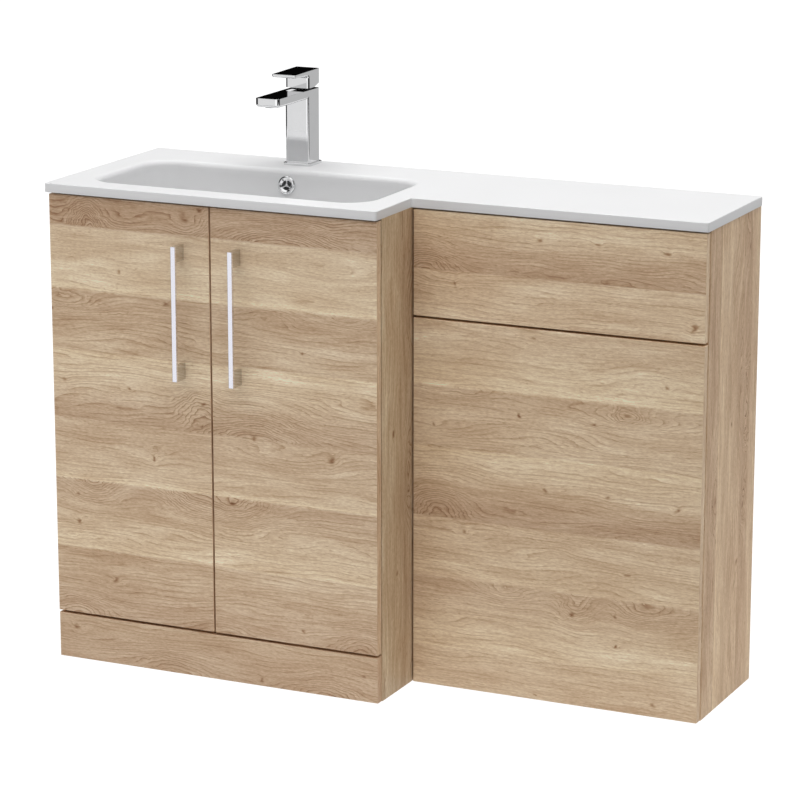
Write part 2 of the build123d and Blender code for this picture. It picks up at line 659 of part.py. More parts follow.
with BuildPart() as right_door:
    with BuildSketch(front(DOOR_BACK)):
        area(DOOR_X0, DOOR_X1, DOOR_Z0, DOOR_Z1)
    extrude(amount=BOARD)
    fillet(right_door.edges(), EDGE)
    # cup recesses with a shallow seat for the flange
    with BuildSketch(front(DOOR_BACK, x=DOOR_X1)):
        with Locations(*[(CUP_U, z) for z in HINGE_Z]):
            Circle(CUP_R)
    extrude(amount=CUP_DEEP, mode=Mode.SUBTRACT)
    with BuildSketch(front(DOOR_BACK, x=DOOR_X1)):
        for z in HINGE_Z:
            with Locations((CUP_U, z)):
                Circle(CUP_R + 2)
            with Locations((SCREW_V, z)):
                RectangleRounded(13, 62, 4)
    extrude(amount=1.0, mode=Mode.SUBTRACT)
    with BuildSketch(front(DOOR_BACK, x=DOOR_X1)):
        with Locations(*[(SCREW_V, z + dz) for z in HINGE_Z for dz in (-SCREW_Z, SCREW_Z)]):
            Circle(1.75)
    extrude(amount=12, mode=Mode.SUBTRACT)
    with BuildSketch(front(DOOR_BACK)):
        with Locations(*[(HANDLE_X, z) for z in HANDLE_SCREW_Z]):
            Circle(2.0)
    extrude(amount=BOARD, mode=Mode.SUBTRACT)
right_door.part.label = "right_door"
export_step(right_door.part, "parts/right_door.step")

with BuildPart() as right_handle:
    with BuildSketch(side(HANDLE_X - HANDLE_W / 2)):
        area(DOOR_FACE - HANDLE_OUT, DOOR_FACE, HANDLE_Z0, HANDLE_Z1)
        with Locations((DOOR_FACE - (HANDLE_OUT - HANDLE_T) / 2, (HANDLE_Z0 + HANDLE_Z1) / 2)):
            RectangleRounded(HANDLE_OUT - HANDLE_T + 4, HANDLE_Z1 - HANDLE_Z0 - 2 * HANDLE_POST, 1.5, mode=Mode.SUBTRACT)
    extrude(amount=HANDLE_W)
    # keep the bar at its full thickness behind the cut-out
    with BuildSketch(side(HANDLE_X - HANDLE_W / 2)):
        area(DOOR_FACE - HANDLE_OUT, DOOR_FACE - HANDLE_OUT + HANDLE_T, HANDLE_Z0, HANDLE_Z1)
    extrude(amount=HANDLE_W)
    fillet(right_handle.edges().group_by(Axis.Y)[0], 0.5)
    with BuildSketch(front(DOOR_FACE)):
        with Locations(*[(HANDLE_X, z) for z in HANDLE_SCREW_Z]):
            Circle(2.0)
    extrude(amount=12, mode=Mode.SUBTRACT)
right_handle.part.label = "right_handle"
export_step(right_handle.part, "parts/right_handle.step")

CUP_V0 = BOARD - CUP_DEEP           # v of the cup's closed end
with BuildPart() as right_hinge_cups:
    with BuildSketch(front(DOOR_BACK, x=DOOR_X1)):
        with Locations(*[(CUP_U, z) for z in HINGE_Z]):
            Circle(CUP_R)
    extrude(amount=CUP_DEEP)
    with BuildSketch(front(DOOR_BACK, x=DOOR_X1)):
        for z in HINGE_Z:
            with Locations((CUP_U, z)):
                Circle(CUP_R + 2)
            with Locations((SCREW_V, z)):
                RectangleRounded(13, 62, 4)
    extrude(amount=1.0)
    with BuildSketch(front(DOOR_BACK, x=DOOR_X1)):
        with Locations(*[(CUP_U, z) for z in HINGE_Z]):
            Circle(CUP_R - CUP_WALL)
        with Locations(*[(SCREW_V, z + dz) for z in HINGE_Z for dz in (-SCREW_Z, SCREW_Z)]):
            Circle(1.75)
    extrude(amount=CUP_DEEP - 1.0, mode=Mode.SUBTRACT)
    # the link's pivot pin across the cup
    for z in HINGE_Z:
        with BuildSketch(corner(z - 10.5)):
            with Locations(HINGE_B):
                Circle(LINK_PIN_R)
        extrude(amount=21.0)
right_hinge_cups.part.label = "right_hinge_cups"
export_step(right_hinge_cups.part, "parts/right_hinge_cups.step")

CUP_SCREWS = [(SCREW_V, z + dz) for z in HINGE_Z for dz in (-SCREW_Z, SCREW_Z)]
HANDLE_SCREWS = [(HANDLE_X, z) for z in HANDLE_SCREW_Z]
with BuildPart() as right_door_screws:
    # handle screws through the door
    with BuildSketch(front(DOOR_BACK)):
        with Locations(*HANDLE_SCREWS):
            Circle(2.0)
    extrude(amount=BOARD + 12)
    with BuildSketch(front(DOOR_BACK)):
        with Locations(*HANDLE_SCREWS):
            Circle(4.5)
    extrude(amount=-2.6)
    fillet(right_door_screws.edges().group_by(Axis.Y)[-1], 1.6)
    with BuildSketch(front(DOOR_BACK + 2.6)):
        with Locations(*HANDLE_SCREWS):
            Rectangle(4.4, 1.0)
            Rectangle(1.0, 4.4)
    extrude(amount=1.6, mode=Mode.SUBTRACT)
    # hinge cup screws
    with BuildSketch(front(DOOR_BACK, x=DOOR_X1)):
        with Locations(*CUP_SCREWS):
            Circle(1.75)
    extrude(amount=12)
    with BuildSketch(front(DOOR_BACK, x=DOOR_X1)):
        with Locations(*CUP_SCREWS):
            Circle(3.6)
    extrude(amount=-2.0)
    with BuildSketch(front(DOOR_BACK + 2.0, x=DOOR_X1)):
        with Locations(*CUP_SCREWS):
            Rectangle(3.4, 0.8)
            Rectangle(0.8, 3.4)
    extrude(amount=1.2, mode=Mode.SUBTRACT)
right_door_screws.part.label = "right_door_screws"
export_step(right_door_screws.part, "parts/right_door_screws.step")

LINK_HALF = 2.0
LINK_BEND = (-17.8, 7.2)
with BuildPart() as right_hinge_links:
    for z in HINGE_Z:
        with BuildSketch(corner(z - 3.0)):
            with BuildLine():
                Polyline(HINGE_B, LINK_BEND, HINGE_A)
            trace(line_width=2 * LINK_HALF)
            with Locations(LINK_BEND):
                Circle(LINK_HALF)
            with Locations(HINGE_A):
                Circle(3.0)
            with Locations(HINGE_B):
                Circle(2.6)
            with Locations(HINGE_A, HINGE_B):
                Circle(LINK_PIN_R + RUN, mode=Mode.SUBTRACT)
        extrude(amount=6.0)
right_hinge_links.part.label = "right_hinge_links"
export_step(right_hinge_links.part, "parts/right_hinge_links.step")

with BuildPart() as hinge_arms:
    for z in HINGE_Z:
        with BuildSketch(corner(z - 5.5)):
            with BuildLine():
                Polyline((-34.6, 13), (-34.6, 22), (-29, 30), (-29, 72), (-18.6, 72), (-18.6, 28), (-27.4, 20), (-27.4, 13), (-34.6, 13))
            make_face()
            with Locations(HINGE_A):
                Circle(3.6)
        extrude(amount=11.0)
        with BuildSketch(corner(z - 7.5)):
            with BuildLine():
                Polyline((-29, 31), (-29, 72), (-18.6, 72), (-18.6, 31), (-29, 31))
            make_face()
        extrude(amount=15.0)
        # fork for the link
        with BuildSketch(corner(z - 3.3)):
            area(-36, -22, 6, 17.5)
        extrude(amount=6.6, mode=Mode.SUBTRACT)
        with BuildSketch(corner(z - 5.5)):
            with Locations(HINGE_A):
                Circle(LINK_PIN_R)
        extrude(amount=11.0)
        # adjusting screws in the arm
        with BuildSketch(side(DOOR_X1 - 29, DOOR_FACE, z)):
            with Locations((44, 0), (62, 0)):
                Circle(2.6)
        extrude(amount=1.4, mode=Mode.SUBTRACT)
    mirror(about=CENTRE)
hinge_arms.part.label = "hinge_arms"
export_step(hinge_arms.part, "parts/hinge_arms.step")

with BuildPart() as hinge_plates:
    for z in HINGE_Z:
        with BuildSketch(side(VAN_IN_R, DOOR_FACE, z)):
            area(36, 72, -8, 8)
        extrude(amount=-5.1)
        with BuildSketch(side(VAN_IN_R, DOOR_FACE, z)):
            with Locations((PLATE_V, 0)):
                RectangleRounded(12, 46, 4)
        extrude(amount=-2.0)
        with BuildSketch(side(VAN_IN_R, DOOR_FACE, z)):
            with Locations((PLATE_V, -PLATE_SCREW), (PLATE_V, PLATE_SCREW)):
                Circle(2.5)
        extrude(amount=-2.0, mode=Mode.SUBTRACT)
    mirror(about=CENTRE)
hinge_plates.part.label = "hinge_plates"
export_step(hinge_plates.part, "parts/hinge_plates.step")

with BuildPart() as hinge_plate_screws:
    with BuildSketch(side(VAN_IN_R + PIN_DEEP)):
        with Locations(*HINGE_SCREW_PTS):
            Circle(2.5)
    extrude(amount=-(PIN_DEEP + 2))
    with BuildSketch(side(VAN_IN_R - 2)):
        with Locations(*HINGE_SCREW_PTS):
            Circle(4.2)
    extrude(amount=-2.2)
    with BuildSketch(side(VAN_IN_R - 4.2)):
        with Locations(*HINGE_SCREW_PTS):
            Rectangle(4.0, 0.9)
            Rectangle(0.9, 4.0)
    extrude(amount=1.4, mode=Mode.SUBTRACT)
    mirror(about=CENTRE)
hinge_plate_screws.part.label = "hinge_plate_screws"
export_step(hinge_plate_screws.part, "parts/hinge_plate_screws.step")

with BuildPart() as left_door:
    mirror(right_door.part, about=CENTRE)
left_door.part.label = "left_door"
export_step(left_door.part, "parts/left_door.step")

with BuildPart() as left_handle:
    mirror(right_handle.part, about=CENTRE)
left_handle.part.label = "left_handle"
export_step(left_handle.part, "parts/left_handle.step")

with BuildPart() as left_door_screws:
    mirror(right_door_screws.part, about=CENTRE)
left_door_screws.part.label = "left_door_screws"
export_step(left_door_screws.part, "parts/left_door_screws.step")

with BuildPart() as left_hinge_cups:
    mirror(right_hinge_cups.part, about=CENTRE)
left_hinge_cups.part.label = "left_hinge_cups"
export_step(left_hinge_cups.part, "parts/left_hinge_cups.step")

with BuildPart() as left_hinge_links:
    mirror(right_hinge_links.part, about=CENTRE)
left_hinge_links.part.label = "left_hinge_links"
export_step(left_hinge_links.part, "parts/left_hinge_links.step")

# ---------------------------------------------------------------------------
# Basin top: L-shaped slab, and the bowl under it with its overflow channel
# (one moulding, in two pieces that meet at the slab's underside)
# ---------------------------------------------------------------------------
BOWL_W, BOWL_D = BOWL_X1 - BOWL_X0, BOWL_Y1 - BOWL_Y0
BOWL_CX, BOWL_CY = (BOWL_X0 + BOWL_X1) / 2, (BOWL_Y0 + BOWL_Y1) / 2
LEAN = BOWL_INSET / (TOP_Z - BOWL_FLOOR)          # wall slope
OUTER_FLOOR = BOWL_FLOOR - 5.0 - BOWL_WALL        # underside of the bowl
OVERFLOW_Y = BOWL_Y1 - (TOP_Z - OVERFLOW_Z) * LEAN
OVERFLOW_TILT = math.degrees(math.atan(LEAN))
DUCT_X0, DUCT_X1 = 284.0, 317.0
DUCT_Y1 = -84.0
DUCT_WALL = 5.0
DUCT_FLOOR = OUTER_FLOOR - 12.0
WASTE_HOLE_R = 23.0
TAP_HOLE_R = 17.5
OVERFLOW_HOLE = Plane(origin=(DATUM[0] + OVERFLOW_X, DATUM[1] + OVERFLOW_Y, OVERFLOW_Z),
                      x_dir=(1, 0, 0), z_dir=(0, math.cos(math.radians(OVERFLOW_TILT)),
                                              -math.sin(math.radians(OVERFLOW_TILT))))


def bowl_hollow():
    """Inside of the bowl, cut from the current part."""
    with BuildSketch(plan(TOP_Z, BOWL_CX, BOWL_CY)) as mouth:
        RectangleRounded(BOWL_W, BOWL_D, BOWL_R)
    with BuildSketch(plan(BOWL_FLOOR, BOWL_CX, BOWL_CY)) as foot:
        RectangleRounded(BOWL_W - 2 * BOWL_INSET, BOWL_D - 2 * BOWL_INSET, BOWL_R - 4)
    loft(sections=[mouth.sketch, foot.sketch], mode=Mode.SUBTRACT)


with BuildPart() as basin_top:
    with BuildSketch(plan(SLAB_Z)):
        with BuildLine():
            Polyline((0, 0), (WIDTH, 0), (WIDTH, -DEPTH_WC), (STEP_X, -DEPTH_WC), (STEP_X, -DEPTH_BASIN),
                     (0, -DEPTH_BASIN), (0, 0))
        make_face()
    extrude(amount=SLAB)
    slab_posts = basin_top.edges().filter_by(Axis.Z).group_by(Axis.Y)
    fillet(slab_posts[0] + slab_posts[1], 4.5)
    fillet(slab_posts[-1], 2.0)
    fillet(basin_top.edges().group_by(Axis.Z)[-1], 1.6)
    fillet(basin_top.edges().group_by(Axis.Z)[0], 0.8)
    bowl_hollow()
    # rounded rim
    rim = (basin_top.edges().filter_by_position(Axis.Z, TOP_Z - 0.01, TOP_Z + 0.01)
           .filter_by(lambda e: DATUM[0] + 20 < e.center().X < DATUM[0] + 580
                      and DATUM[1] - 360 < e.center().Y < DATUM[1] - 60))
    fillet(rim, BOWL_RIM)
    # the overflow hole nicks the slab's underside
    with BuildSketch(OVERFLOW_HOLE):
        Circle(11.0)
    extrude(amount=20, mode=Mode.SUBTRACT)
    # tap hole
    with BuildSketch(plan(TOP_Z, TAP_X, TAP_Y)):
        Circle(TAP_HOLE_R)
    extrude(amount=-SLAB, mode=Mode.SUBTRACT)
basin_top.part.label = "basin_top"
export_step(basin_top.part, "parts/basin_top.step")

with BuildPart() as basin_bowl:
    # shell of the bowl
    with BuildSketch(plan(SLAB_Z, BOWL_CX, BOWL_CY)):
        RectangleRounded(BOWL_W + 2 * BOWL_WALL - 2, BOWL_D + 2 * BOWL_WALL - 2, BOWL_R + BOWL_WALL)
    with BuildSketch(plan(OUTER_FLOOR, BOWL_CX, BOWL_CY)):
        RectangleRounded(BOWL_W + 2 * BOWL_WALL - 2 * BOWL_INSET, BOWL_D + 2 * BOWL_WALL - 2 * BOWL_INSET,
                         BOWL_R + BOWL_WALL - 6)
    loft()
    fillet(basin_bowl.edges().group_by(Axis.Z)[0], 40)
    # boss of the overflow channel, down the back and under the floor
    with BuildSketch(side(DUCT_X0 - DUCT_WALL)):
        with BuildLine():
            Polyline((DUCT_Y1 + DUCT_WALL, SLAB_Z), (DUCT_Y1 + DUCT_WALL, DUCT_FLOOR - DUCT_WALL),
                     (WASTE_Y, DUCT_FLOOR - DUCT_WALL), (WASTE_Y, OUTER_FLOOR + 6),
                     (BOWL_Y1 - 4, OUTER_FLOOR + 46), (BOWL_Y1 + 3, SLAB_Z), (DUCT_Y1 + DUCT_WALL, SLAB_Z))
        make_face()
    extrude(amount=DUCT_X1 - DUCT_X0 + 2 * DUCT_WALL)
    with BuildSketch(plan(DUCT_FLOOR - DUCT_WALL, WASTE_X, WASTE_Y)):
        Circle(WASTE_HOLE_R + 8)
    extrude(amount=OUTER_FLOOR + 3 - (DUCT_FLOOR - DUCT_WALL))
    bowl_hollow()
    # rounded foot of the bowl's walls
    hollow = basin_bowl.edges().filter_by_position(Axis.Z, BOWL_FLOOR - 0.1, BOWL_FLOOR + 0.1)
    fillet(hollow, 36)
    # floor falls gently to the waste
    with BuildSketch(plan(BOWL_FLOOR, BOWL_CX, BOWL_CY)):
        RectangleRounded(BOWL_W - 2 * BOWL_INSET - 74, BOWL_D - 2 * BOWL_INSET - 74, 16)
    with BuildSketch(plan(BOWL_FLOOR - 4.0, WASTE_X, WASTE_Y)):
        Circle(36)
    loft(mode=Mode.SUBTRACT)
    # waste seat and hole
    with BuildSketch(plan(BOWL_FLOOR - 4.0, WASTE_X, WASTE_Y)):
        Circle(33.5)
    extrude(amount=-2.4, mode=Mode.SUBTRACT)
    with BuildSketch(plan(BOWL_FLOOR - 4.0, WASTE_X, WASTE_Y)):
        Circle(WASTE_HOLE_R)
    extrude(amount=-60, mode=Mode.SUBTRACT)
    # overflow: hole through the back wall, channel down and forward to the waste hole
    with BuildSketch(OVERFLOW_HOLE):
        Circle(11.0)
    extrude(amount=20, mode=Mode.SUBTRACT)
    with BuildSketch(side(DUCT_X0)):
        area(DUCT_Y1 - 9, DUCT_Y1, DUCT_FLOOR, SLAB_Z)
        area(WASTE_Y, DUCT_Y1, DUCT_FLOOR, DUCT_FLOOR + 8)
    extrude(amount=DUCT_X1 - DUCT_X0, mode=Mode.SUBTRACT)
basin_bowl.part.label = "basin_bowl"
export_step(basin_bowl.part, "parts/basin_bowl.step")

# overflow ring: flange proud of the back wall, tube in the wall, three-hole grille
OVERFLOW_PLANE = Plane(origin=(DATUM[0] + OVERFLOW_X, DATUM[1] + OVERFLOW_Y, OVERFLOW_Z), x_dir=(1, 0, 0),
                       z_dir=(0, -math.cos(math.radians(OVERFLOW_TILT)), math.sin(math.radians(OVERFLOW_TILT))))
with BuildPart() as overflow_ring:
    with BuildSketch(OVERFLOW_PLANE):
        Circle(15.8)
    extrude(amount=4.0)
    fillet(overflow_ring.faces().sort_by(Axis.Y)[0].edges(), 3.4)
    with BuildSketch(OVERFLOW_PLANE):
        Circle(11.0)
    extrude(amount=-9.0)
    with BuildSketch(OVERFLOW_PLANE.offset(-9.0)):
        Circle(8.2)
    extrude(amount=16.0, mode=Mode.SUBTRACT)
    # dished face: the ring slopes in to its opening
    with BuildSketch(OVERFLOW_PLANE.offset(1.6)):
        Circle(8.2)
    with BuildSketch(OVERFLOW_PLANE.offset(4.05)):
        Circle(11.6)
    loft(mode=Mode.SUBTRACT)
    # grille: hub and three spokes a little below the ring's face
    with BuildSketch(OVERFLOW_PLANE.offset(-1.4)):
        Circle(2.3)
        with PolarLocations(4.3, 3, start_angle=90):
            Rectangle(8.6, 1.9)
    extrude(amount=2.4)
overflow_ring.part.label = "overflow_ring"
export_step(overflow_ring.part, "parts/overflow_ring.step")

# ---------------------------------------------------------------------------
# Waste: flange and tail, seals, back nut and the click-clack plug
# ---------------------------------------------------------------------------
SEAT_Z = BOWL_FLOOR - 4.0 - 2.4
BOSS_Z = DUCT_FLOOR - DUCT_WALL
TAIL_R, TAIL_IN, TAIL_Z = 20.95, 17.5, 600.0
NECK_R, NECK_Z = 20.6, 645.0      # thread root where the nut and seal sit
FLANGE_Z = SEAT_Z + 0.8
STROKE = 8.0
STEM_R = 3.5
with BuildPart() as waste_body:
    with BuildSketch(plan(FLANGE_Z, WASTE_X, WASTE_Y)):
        Circle(33.0)
    extrude(amount=2.4)
    fillet(waste_body.edges().group_by(Axis.Z)[-1], 1.2)
    with BuildSketch(plan(TAIL_Z, WASTE_X, WASTE_Y)):
        Circle(TAIL_R)
    extrude(amount=NECK_Z - TAIL_Z)
    with BuildSketch(plan(NECK_Z, WASTE_X, WASTE_Y)):
        Circle(NECK_R)
    extrude(amount=FLANGE_Z - NECK_Z + 1)
    with BuildSketch(plan(TAIL_Z, WASTE_X, WASTE_Y)):
        Circle(TAIL_IN)
    extrude(amount=FLANGE_Z - TAIL_Z + 3, mode=Mode.SUBTRACT)
    # dished inner edge of the flange
    chamfer(waste_body.faces().sort_by(Axis.Z)[-1].edges().sort_by(SortBy.LENGTH)[0], 1.2)
    # overflow windows
    with BuildSketch(front(WASTE_Y + 30)):
        with Locations((WASTE_X, DUCT_FLOOR + 4)):
            RectangleRounded(16, 8, 2)
    extrude(amount=60, mode=Mode.SUBTRACT)
    # spider that guides the plug's stem
    with BuildSketch(plan(FLANGE_Z - 34, WASTE_X, WASTE_Y)):
        Circle(6.5)
        Rectangle(2 * TAIL_IN + 1, 3.0)
        Rectangle(3.0, 2 * TAIL_IN + 1)
        Circle(STEM_R + 0.08, mode=Mode.SUBTRACT)
    extrude(amount=8)
waste_body.part.label = "waste_body"
export_step(waste_body.part, "parts/waste_body.step")

with BuildPart() as waste_seals:
    with BuildSketch(plan(SEAT_Z, WASTE_X, WASTE_Y)):
        Circle(32.5)
        Circle(WASTE_HOLE_R + 0.5, mode=Mode.SUBTRACT)
    extrude(amount=0.8)
    with BuildSketch(plan(BOSS_Z, WASTE_X, WASTE_Y)):
        Circle(30)
        Circle(NECK_R, mode=Mode.SUBTRACT)
    extrude(amount=-4)
waste_seals.part.label = "waste_seals"
export_step(waste_seals.part, "parts/waste_seals.step")

with BuildPart() as waste_back_nut:
    with BuildSketch(plan(BOSS_Z - 4, WASTE_X, WASTE_Y)):
        Circle(31)
        Circle(NECK_R, mode=Mode.SUBTRACT)
    extrude(amount=-3)
    with BuildSketch(plan(BOSS_Z - 7, WASTE_X, WASTE_Y)):
        RegularPolygon(29, 8)
        Circle(NECK_R, mode=Mode.SUBTRACT)
    extrude(amount=-10)
    chamfer(waste_back_nut.faces().sort_by(Axis.Z)[0].outer_wire().edges(), 1.2)
waste_back_nut.part.label = "waste_back_nut"
export_step(waste_back_nut.part, "parts/waste_back_nut.step")

PLUG_Z = FLANGE_Z + 2.4 + STROKE + 0.3
with BuildPart() as waste_plug:
    with BuildSketch(plan(PLUG_Z, WASTE_X, WASTE_Y)):
        Circle(31.0)
    extrude(amount=4.4)
    fillet(waste_plug.edges().group_by(Axis.Z)[-1], 3.0)
    chamfer(waste_plug.edges().group_by(Axis.Z)[0], 1.0)
    with BuildSketch(plan(FLANGE_Z - 44, WASTE_X, WASTE_Y)):
        Circle(STEM_R)
    extrude(amount=PLUG_Z - FLANGE_Z + 44)
    with BuildSketch(plan(PLUG_Z, WASTE_X, WASTE_Y)):
        Circle(16.5)
        Circle(13.5, mode=Mode.SUBTRACT)
    extrude(amount=-3)
waste_plug.part.label = "waste_plug"
export_step(waste_plug.part, "parts/waste_plug.step")

# ---------------------------------------------------------------------------
# Tap
# ---------------------------------------------------------------------------
RING_Z0, RING_Z1 = TOP_Z, TOP_Z + 4.0
HALF = TAP_W / 2
with BuildPart() as tap_base_ring:
    with BuildSketch(plan(RING_Z0, TAP_X, TAP_Y)):
        RectangleRounded(TAP_W + 7.2, TAP_W + 7.2, 6.5)
        Circle(TAP_HOLE_R - 1.5, mode=Mode.SUBTRACT)
    extrude(amount=RING_Z1 - RING_Z0)
    chamfer(tap_base_ring.faces().sort_by(Axis.Z)[-1].outer_wire().edges(), 0.4)
tap_base_ring.part.label = "tap_base_ring"
export_step(tap_base_ring.part, "parts/tap_base_ring.step")

CART_R, CART_Z = 17.0, 903.0
INLET_R, INLET_Z, INLET_DEEP = 4.5, TOP_Z + 0.6, 14.0
AER_Y = SPOUT_Y + 17.0
AER_R, AER_DEEP = 11.0, 7.5
with BuildPart() as tap_body:
    # spout with its tip and underside rounded, then the column behind it
    with BuildSketch(plan(TAP_TOP, TAP_X, 0)):
        with Locations((0, (SPOUT_Y + TAP_Y) / 2)):
            Rectangle(TAP_W, TAP_Y - SPOUT_Y)
    extrude(amount=-SPOUT_T)
    fillet(tap_body.edges().filter_by(Axis.Z).group_by(Axis.Y)[0], 6.0)
    under = tap_body.faces().sort_by(Axis.Z)[0].edges().filter_by(lambda e: e.center().Y < DATUM[1] + TAP_Y - 1)
    fillet(under, 5.5)
    with BuildSketch(plan(RING_Z1, TAP_X, TAP_Y)):
        RectangleRounded(TAP_W, TAP_W, 3.8)
    extrude(amount=TAP_TOP - RING_Z1)
    fillet(tap_body.edges().group_by(Axis.Z)[-1], 0.7)
    # pocket for the cartridge
    with BuildSketch(plan(TAP_TOP, TAP_X, TAP_Y)):
        Circle(CART_R)
    extrude(amount=CART_Z - TAP_TOP, mode=Mode.SUBTRACT)
    # aerator bore
    with BuildSketch(plan(TAP_TOP - SPOUT_T, TAP_X, AER_Y)):
        Circle(AER_R)
    extrude(amount=AER_DEEP, mode=Mode.SUBTRACT)
    # waterway from the cartridge to the aerator
    with BuildSketch(front(TAP_Y - CART_R + 2)):
        with Locations((TAP_X, TAP_TOP - SPOUT_T + 5.2)):
            Circle(2.2)
    extrude(amount=TAP_Y - CART_R + 2 - AER_Y, mode=Mode.SUBTRACT)
    # foot inside the base ring, with the threaded inlets and the stud hole
    with BuildSketch(plan(RING_Z1, TAP_X, TAP_Y)):
        Circle(TAP_HOLE_R - 1.5)
    extrude(amount=INLET_Z - RING_Z1)
    with BuildSketch(plan(INLET_Z, TAP_X, TAP_Y)):
        with Locations((-8.5, 3.0), (8.5, 3.0)):
            Circle(INLET_R)
        with Locations((0, -9.0)):
            Circle(3.0)
    extrude(amount=INLET_DEEP, mode=Mode.SUBTRACT)
tap_body.part.label = "tap_body"
export_step(tap_body.part, "parts/tap_body.step")

with BuildPart() as tap_aerator:
    with BuildSketch(plan(TAP_TOP - SPOUT_T - 1.2, TAP_X, AER_Y)):
        Circle(AER_R - 1.0)
    extrude(amount=1.2)
    with BuildSketch(plan(TAP_TOP - SPOUT_T, TAP_X, AER_Y)):
        Circle(AER_R)
    extrude(amount=AER_DEEP - 4.0)
    with BuildSketch(plan(TAP_TOP - SPOUT_T - 1.2, TAP_X, AER_Y)):
        with GridLocations(3.0, 3.0, 5, 5):
            Rectangle(2.1, 2.1)
    extrude(amount=2.0, mode=Mode.SUBTRACT)
tap_aerator.part.label = "tap_aerator"
export_step(tap_aerator.part, "parts/tap_aerator.step")

CARRIER_R = 13.4
PIVOT_R, PIVOT_HALF = 1.5, 8.0       # cross pin of the lever's stem
with BuildPart() as tap_cartridge:
    with BuildSketch(plan(CART_Z, TAP_X, TAP_Y)):
        Circle(CART_R)
    extrude(amount=LEVER_PIVOT_Z - 2.0 - CART_Z)
    with BuildSketch(plan(LEVER_PIVOT_Z - 8.0, TAP_X, TAP_Y)):
        Circle(CARRIER_R + 0.1)
    extrude(amount=8.0, mode=Mode.SUBTRACT)
    # water ports
    with BuildSketch(plan(CART_Z, TAP_X, TAP_Y)):
        with PolarLocations(8.5, 3):
            Circle(3.2)
    extrude(amount=8.0, mode=Mode.SUBTRACT)
tap_cartridge.part.label = "tap_cartridge"
export_step(tap_cartridge.part, "parts/tap_cartridge.step")

with BuildPart() as tap_cartridge_nut:
    with BuildSketch(plan(LEVER_PIVOT_Z - 2.0, TAP_X, TAP_Y)):
        Circle(CART_R)
        Circle(CARRIER_R + 0.6, mode=Mode.SUBTRACT)
    extrude(amount=8.0)
    chamfer(tap_cartridge_nut.faces().sort_by(Axis.Z)[-1].outer_wire().edges(), 0.8)
tap_cartridge_nut.part.label = "tap_cartridge_nut"
export_step(tap_cartridge_nut.part, "parts/tap_cartridge_nut.step")

# carrier: turns in the cartridge; its dome is centred on the lift pivot
with BuildPart() as tap_carrier:
    with Locations((DATUM[0] + TAP_X, DATUM[1] + TAP_Y, LEVER_PIVOT_Z)):
        Sphere(CARRIER_R)
    with BuildSketch(plan(LEVER_PIVOT_Z - 8.0, TAP_X, TAP_Y)):
        Circle(CARRIER_R)
    extrude(amount=8.0)
    with BuildSketch(plan(LEVER_PIVOT_Z - 8.0, TAP_X, TAP_Y)):
        Circle(40)
    extrude(amount=-20, mode=Mode.SUBTRACT)
    with BuildSketch(plan(LEVER_PIVOT_Z - 2.6, TAP_X, TAP_Y)):
        area(-4.2, 4.2, -5.2, 10.5)
    extrude(amount=20, mode=Mode.SUBTRACT)
    # bore for the stem's cross pin
    with BuildSketch(side(TAP_X - PIVOT_HALF - 0.2)):
        with Locations((TAP_Y, LEVER_PIVOT_Z)):
            Circle(PIVOT_R + RUN)
    extrude(amount=40, mode=Mode.SUBTRACT)
tap_carrier.part.label = "tap_carrier"
export_step(tap_carrier.part, "parts/tap_carrier.step")

LEVER_X0, LEVER_X1 = TAP_X - HALF, TAP_X + HALF
LEVER_BACK, NECK_Y = TAP_Y + HALF, -58.0
with BuildPart() as tap_lever:
    with BuildSketch(side(LEVER_X0)):
        with BuildLine():
            Polyline((LEVER_BACK, 968.2), (LEVER_Y, 967.0), (LEVER_Y, 961.8), (NECK_Y, 958.6), (NECK_Y, 938.6),
                     (-36.6, 938.6), (LEVER_BACK, 944.8), (LEVER_BACK, 968.2))
        make_face()
    extrude(amount=TAP_W)
    inner = (tap_lever.edges().filter_by(Axis.X).filter_by_position(Axis.Z, 958.5, 958.7))
    fillet(inner, 3.0)
    for y, r in ((LEVER_BACK, 2.5), (NECK_Y, 4.0), (LEVER_Y, 2.0)):
        posts = tap_lever.edges().filter_by(Axis.Z).filter_by_position(Axis.Y, DATUM[1] + y - 0.1, DATUM[1] + y + 0.1)
        fillet(posts, r)
    fillet(tap_lever.faces().sort_by(Axis.Z)[-1].edges(), 0.8)
    # seat for the dome, centred on the lift pivot, and the socket for the stem
    with Locations((DATUM[0] + TAP_X, DATUM[1] + TAP_Y, LEVER_PIVOT_Z)):
        Sphere(CARRIER_R + 0.8, mode=Mode.SUBTRACT)
    with BuildSketch(plan(LEVER_PIVOT_Z + CARRIER_R + 0.4, TAP_X, TAP_Y)):
        Circle(3.0)
    extrude(amount=10, mode=Mode.SUBTRACT)
    # tapped hole for the grub screw, from the back
    with BuildSketch(front(LEVER_BACK + 1.0)):
        with Locations((TAP_X, 949.0)):
            Circle(2.0)
    extrude(amount=HALF + 1.0 - 3.0, mode=Mode.SUBTRACT)
tap_lever.part.label = "tap_lever"
export_step(tap_lever.part, "parts/tap_lever.step")

with BuildPart() as tap_lever_stem:
    with BuildSketch(plan(LEVER_PIVOT_Z - 0.4, TAP_X, TAP_Y)):
        Circle(3.0)
    extrude(amount=CARRIER_R + 0.4 + 10 + 0.4)
    with BuildSketch(side(TAP_X - PIVOT_HALF)):
        with Locations((TAP_Y, LEVER_PIVOT_Z)):
            Circle(PIVOT_R)
    extrude(amount=2 * PIVOT_HALF)
tap_lever_stem.part.label = "tap_lever_stem"
export_step(tap_lever_stem.part, "parts/tap_lever_stem.step")

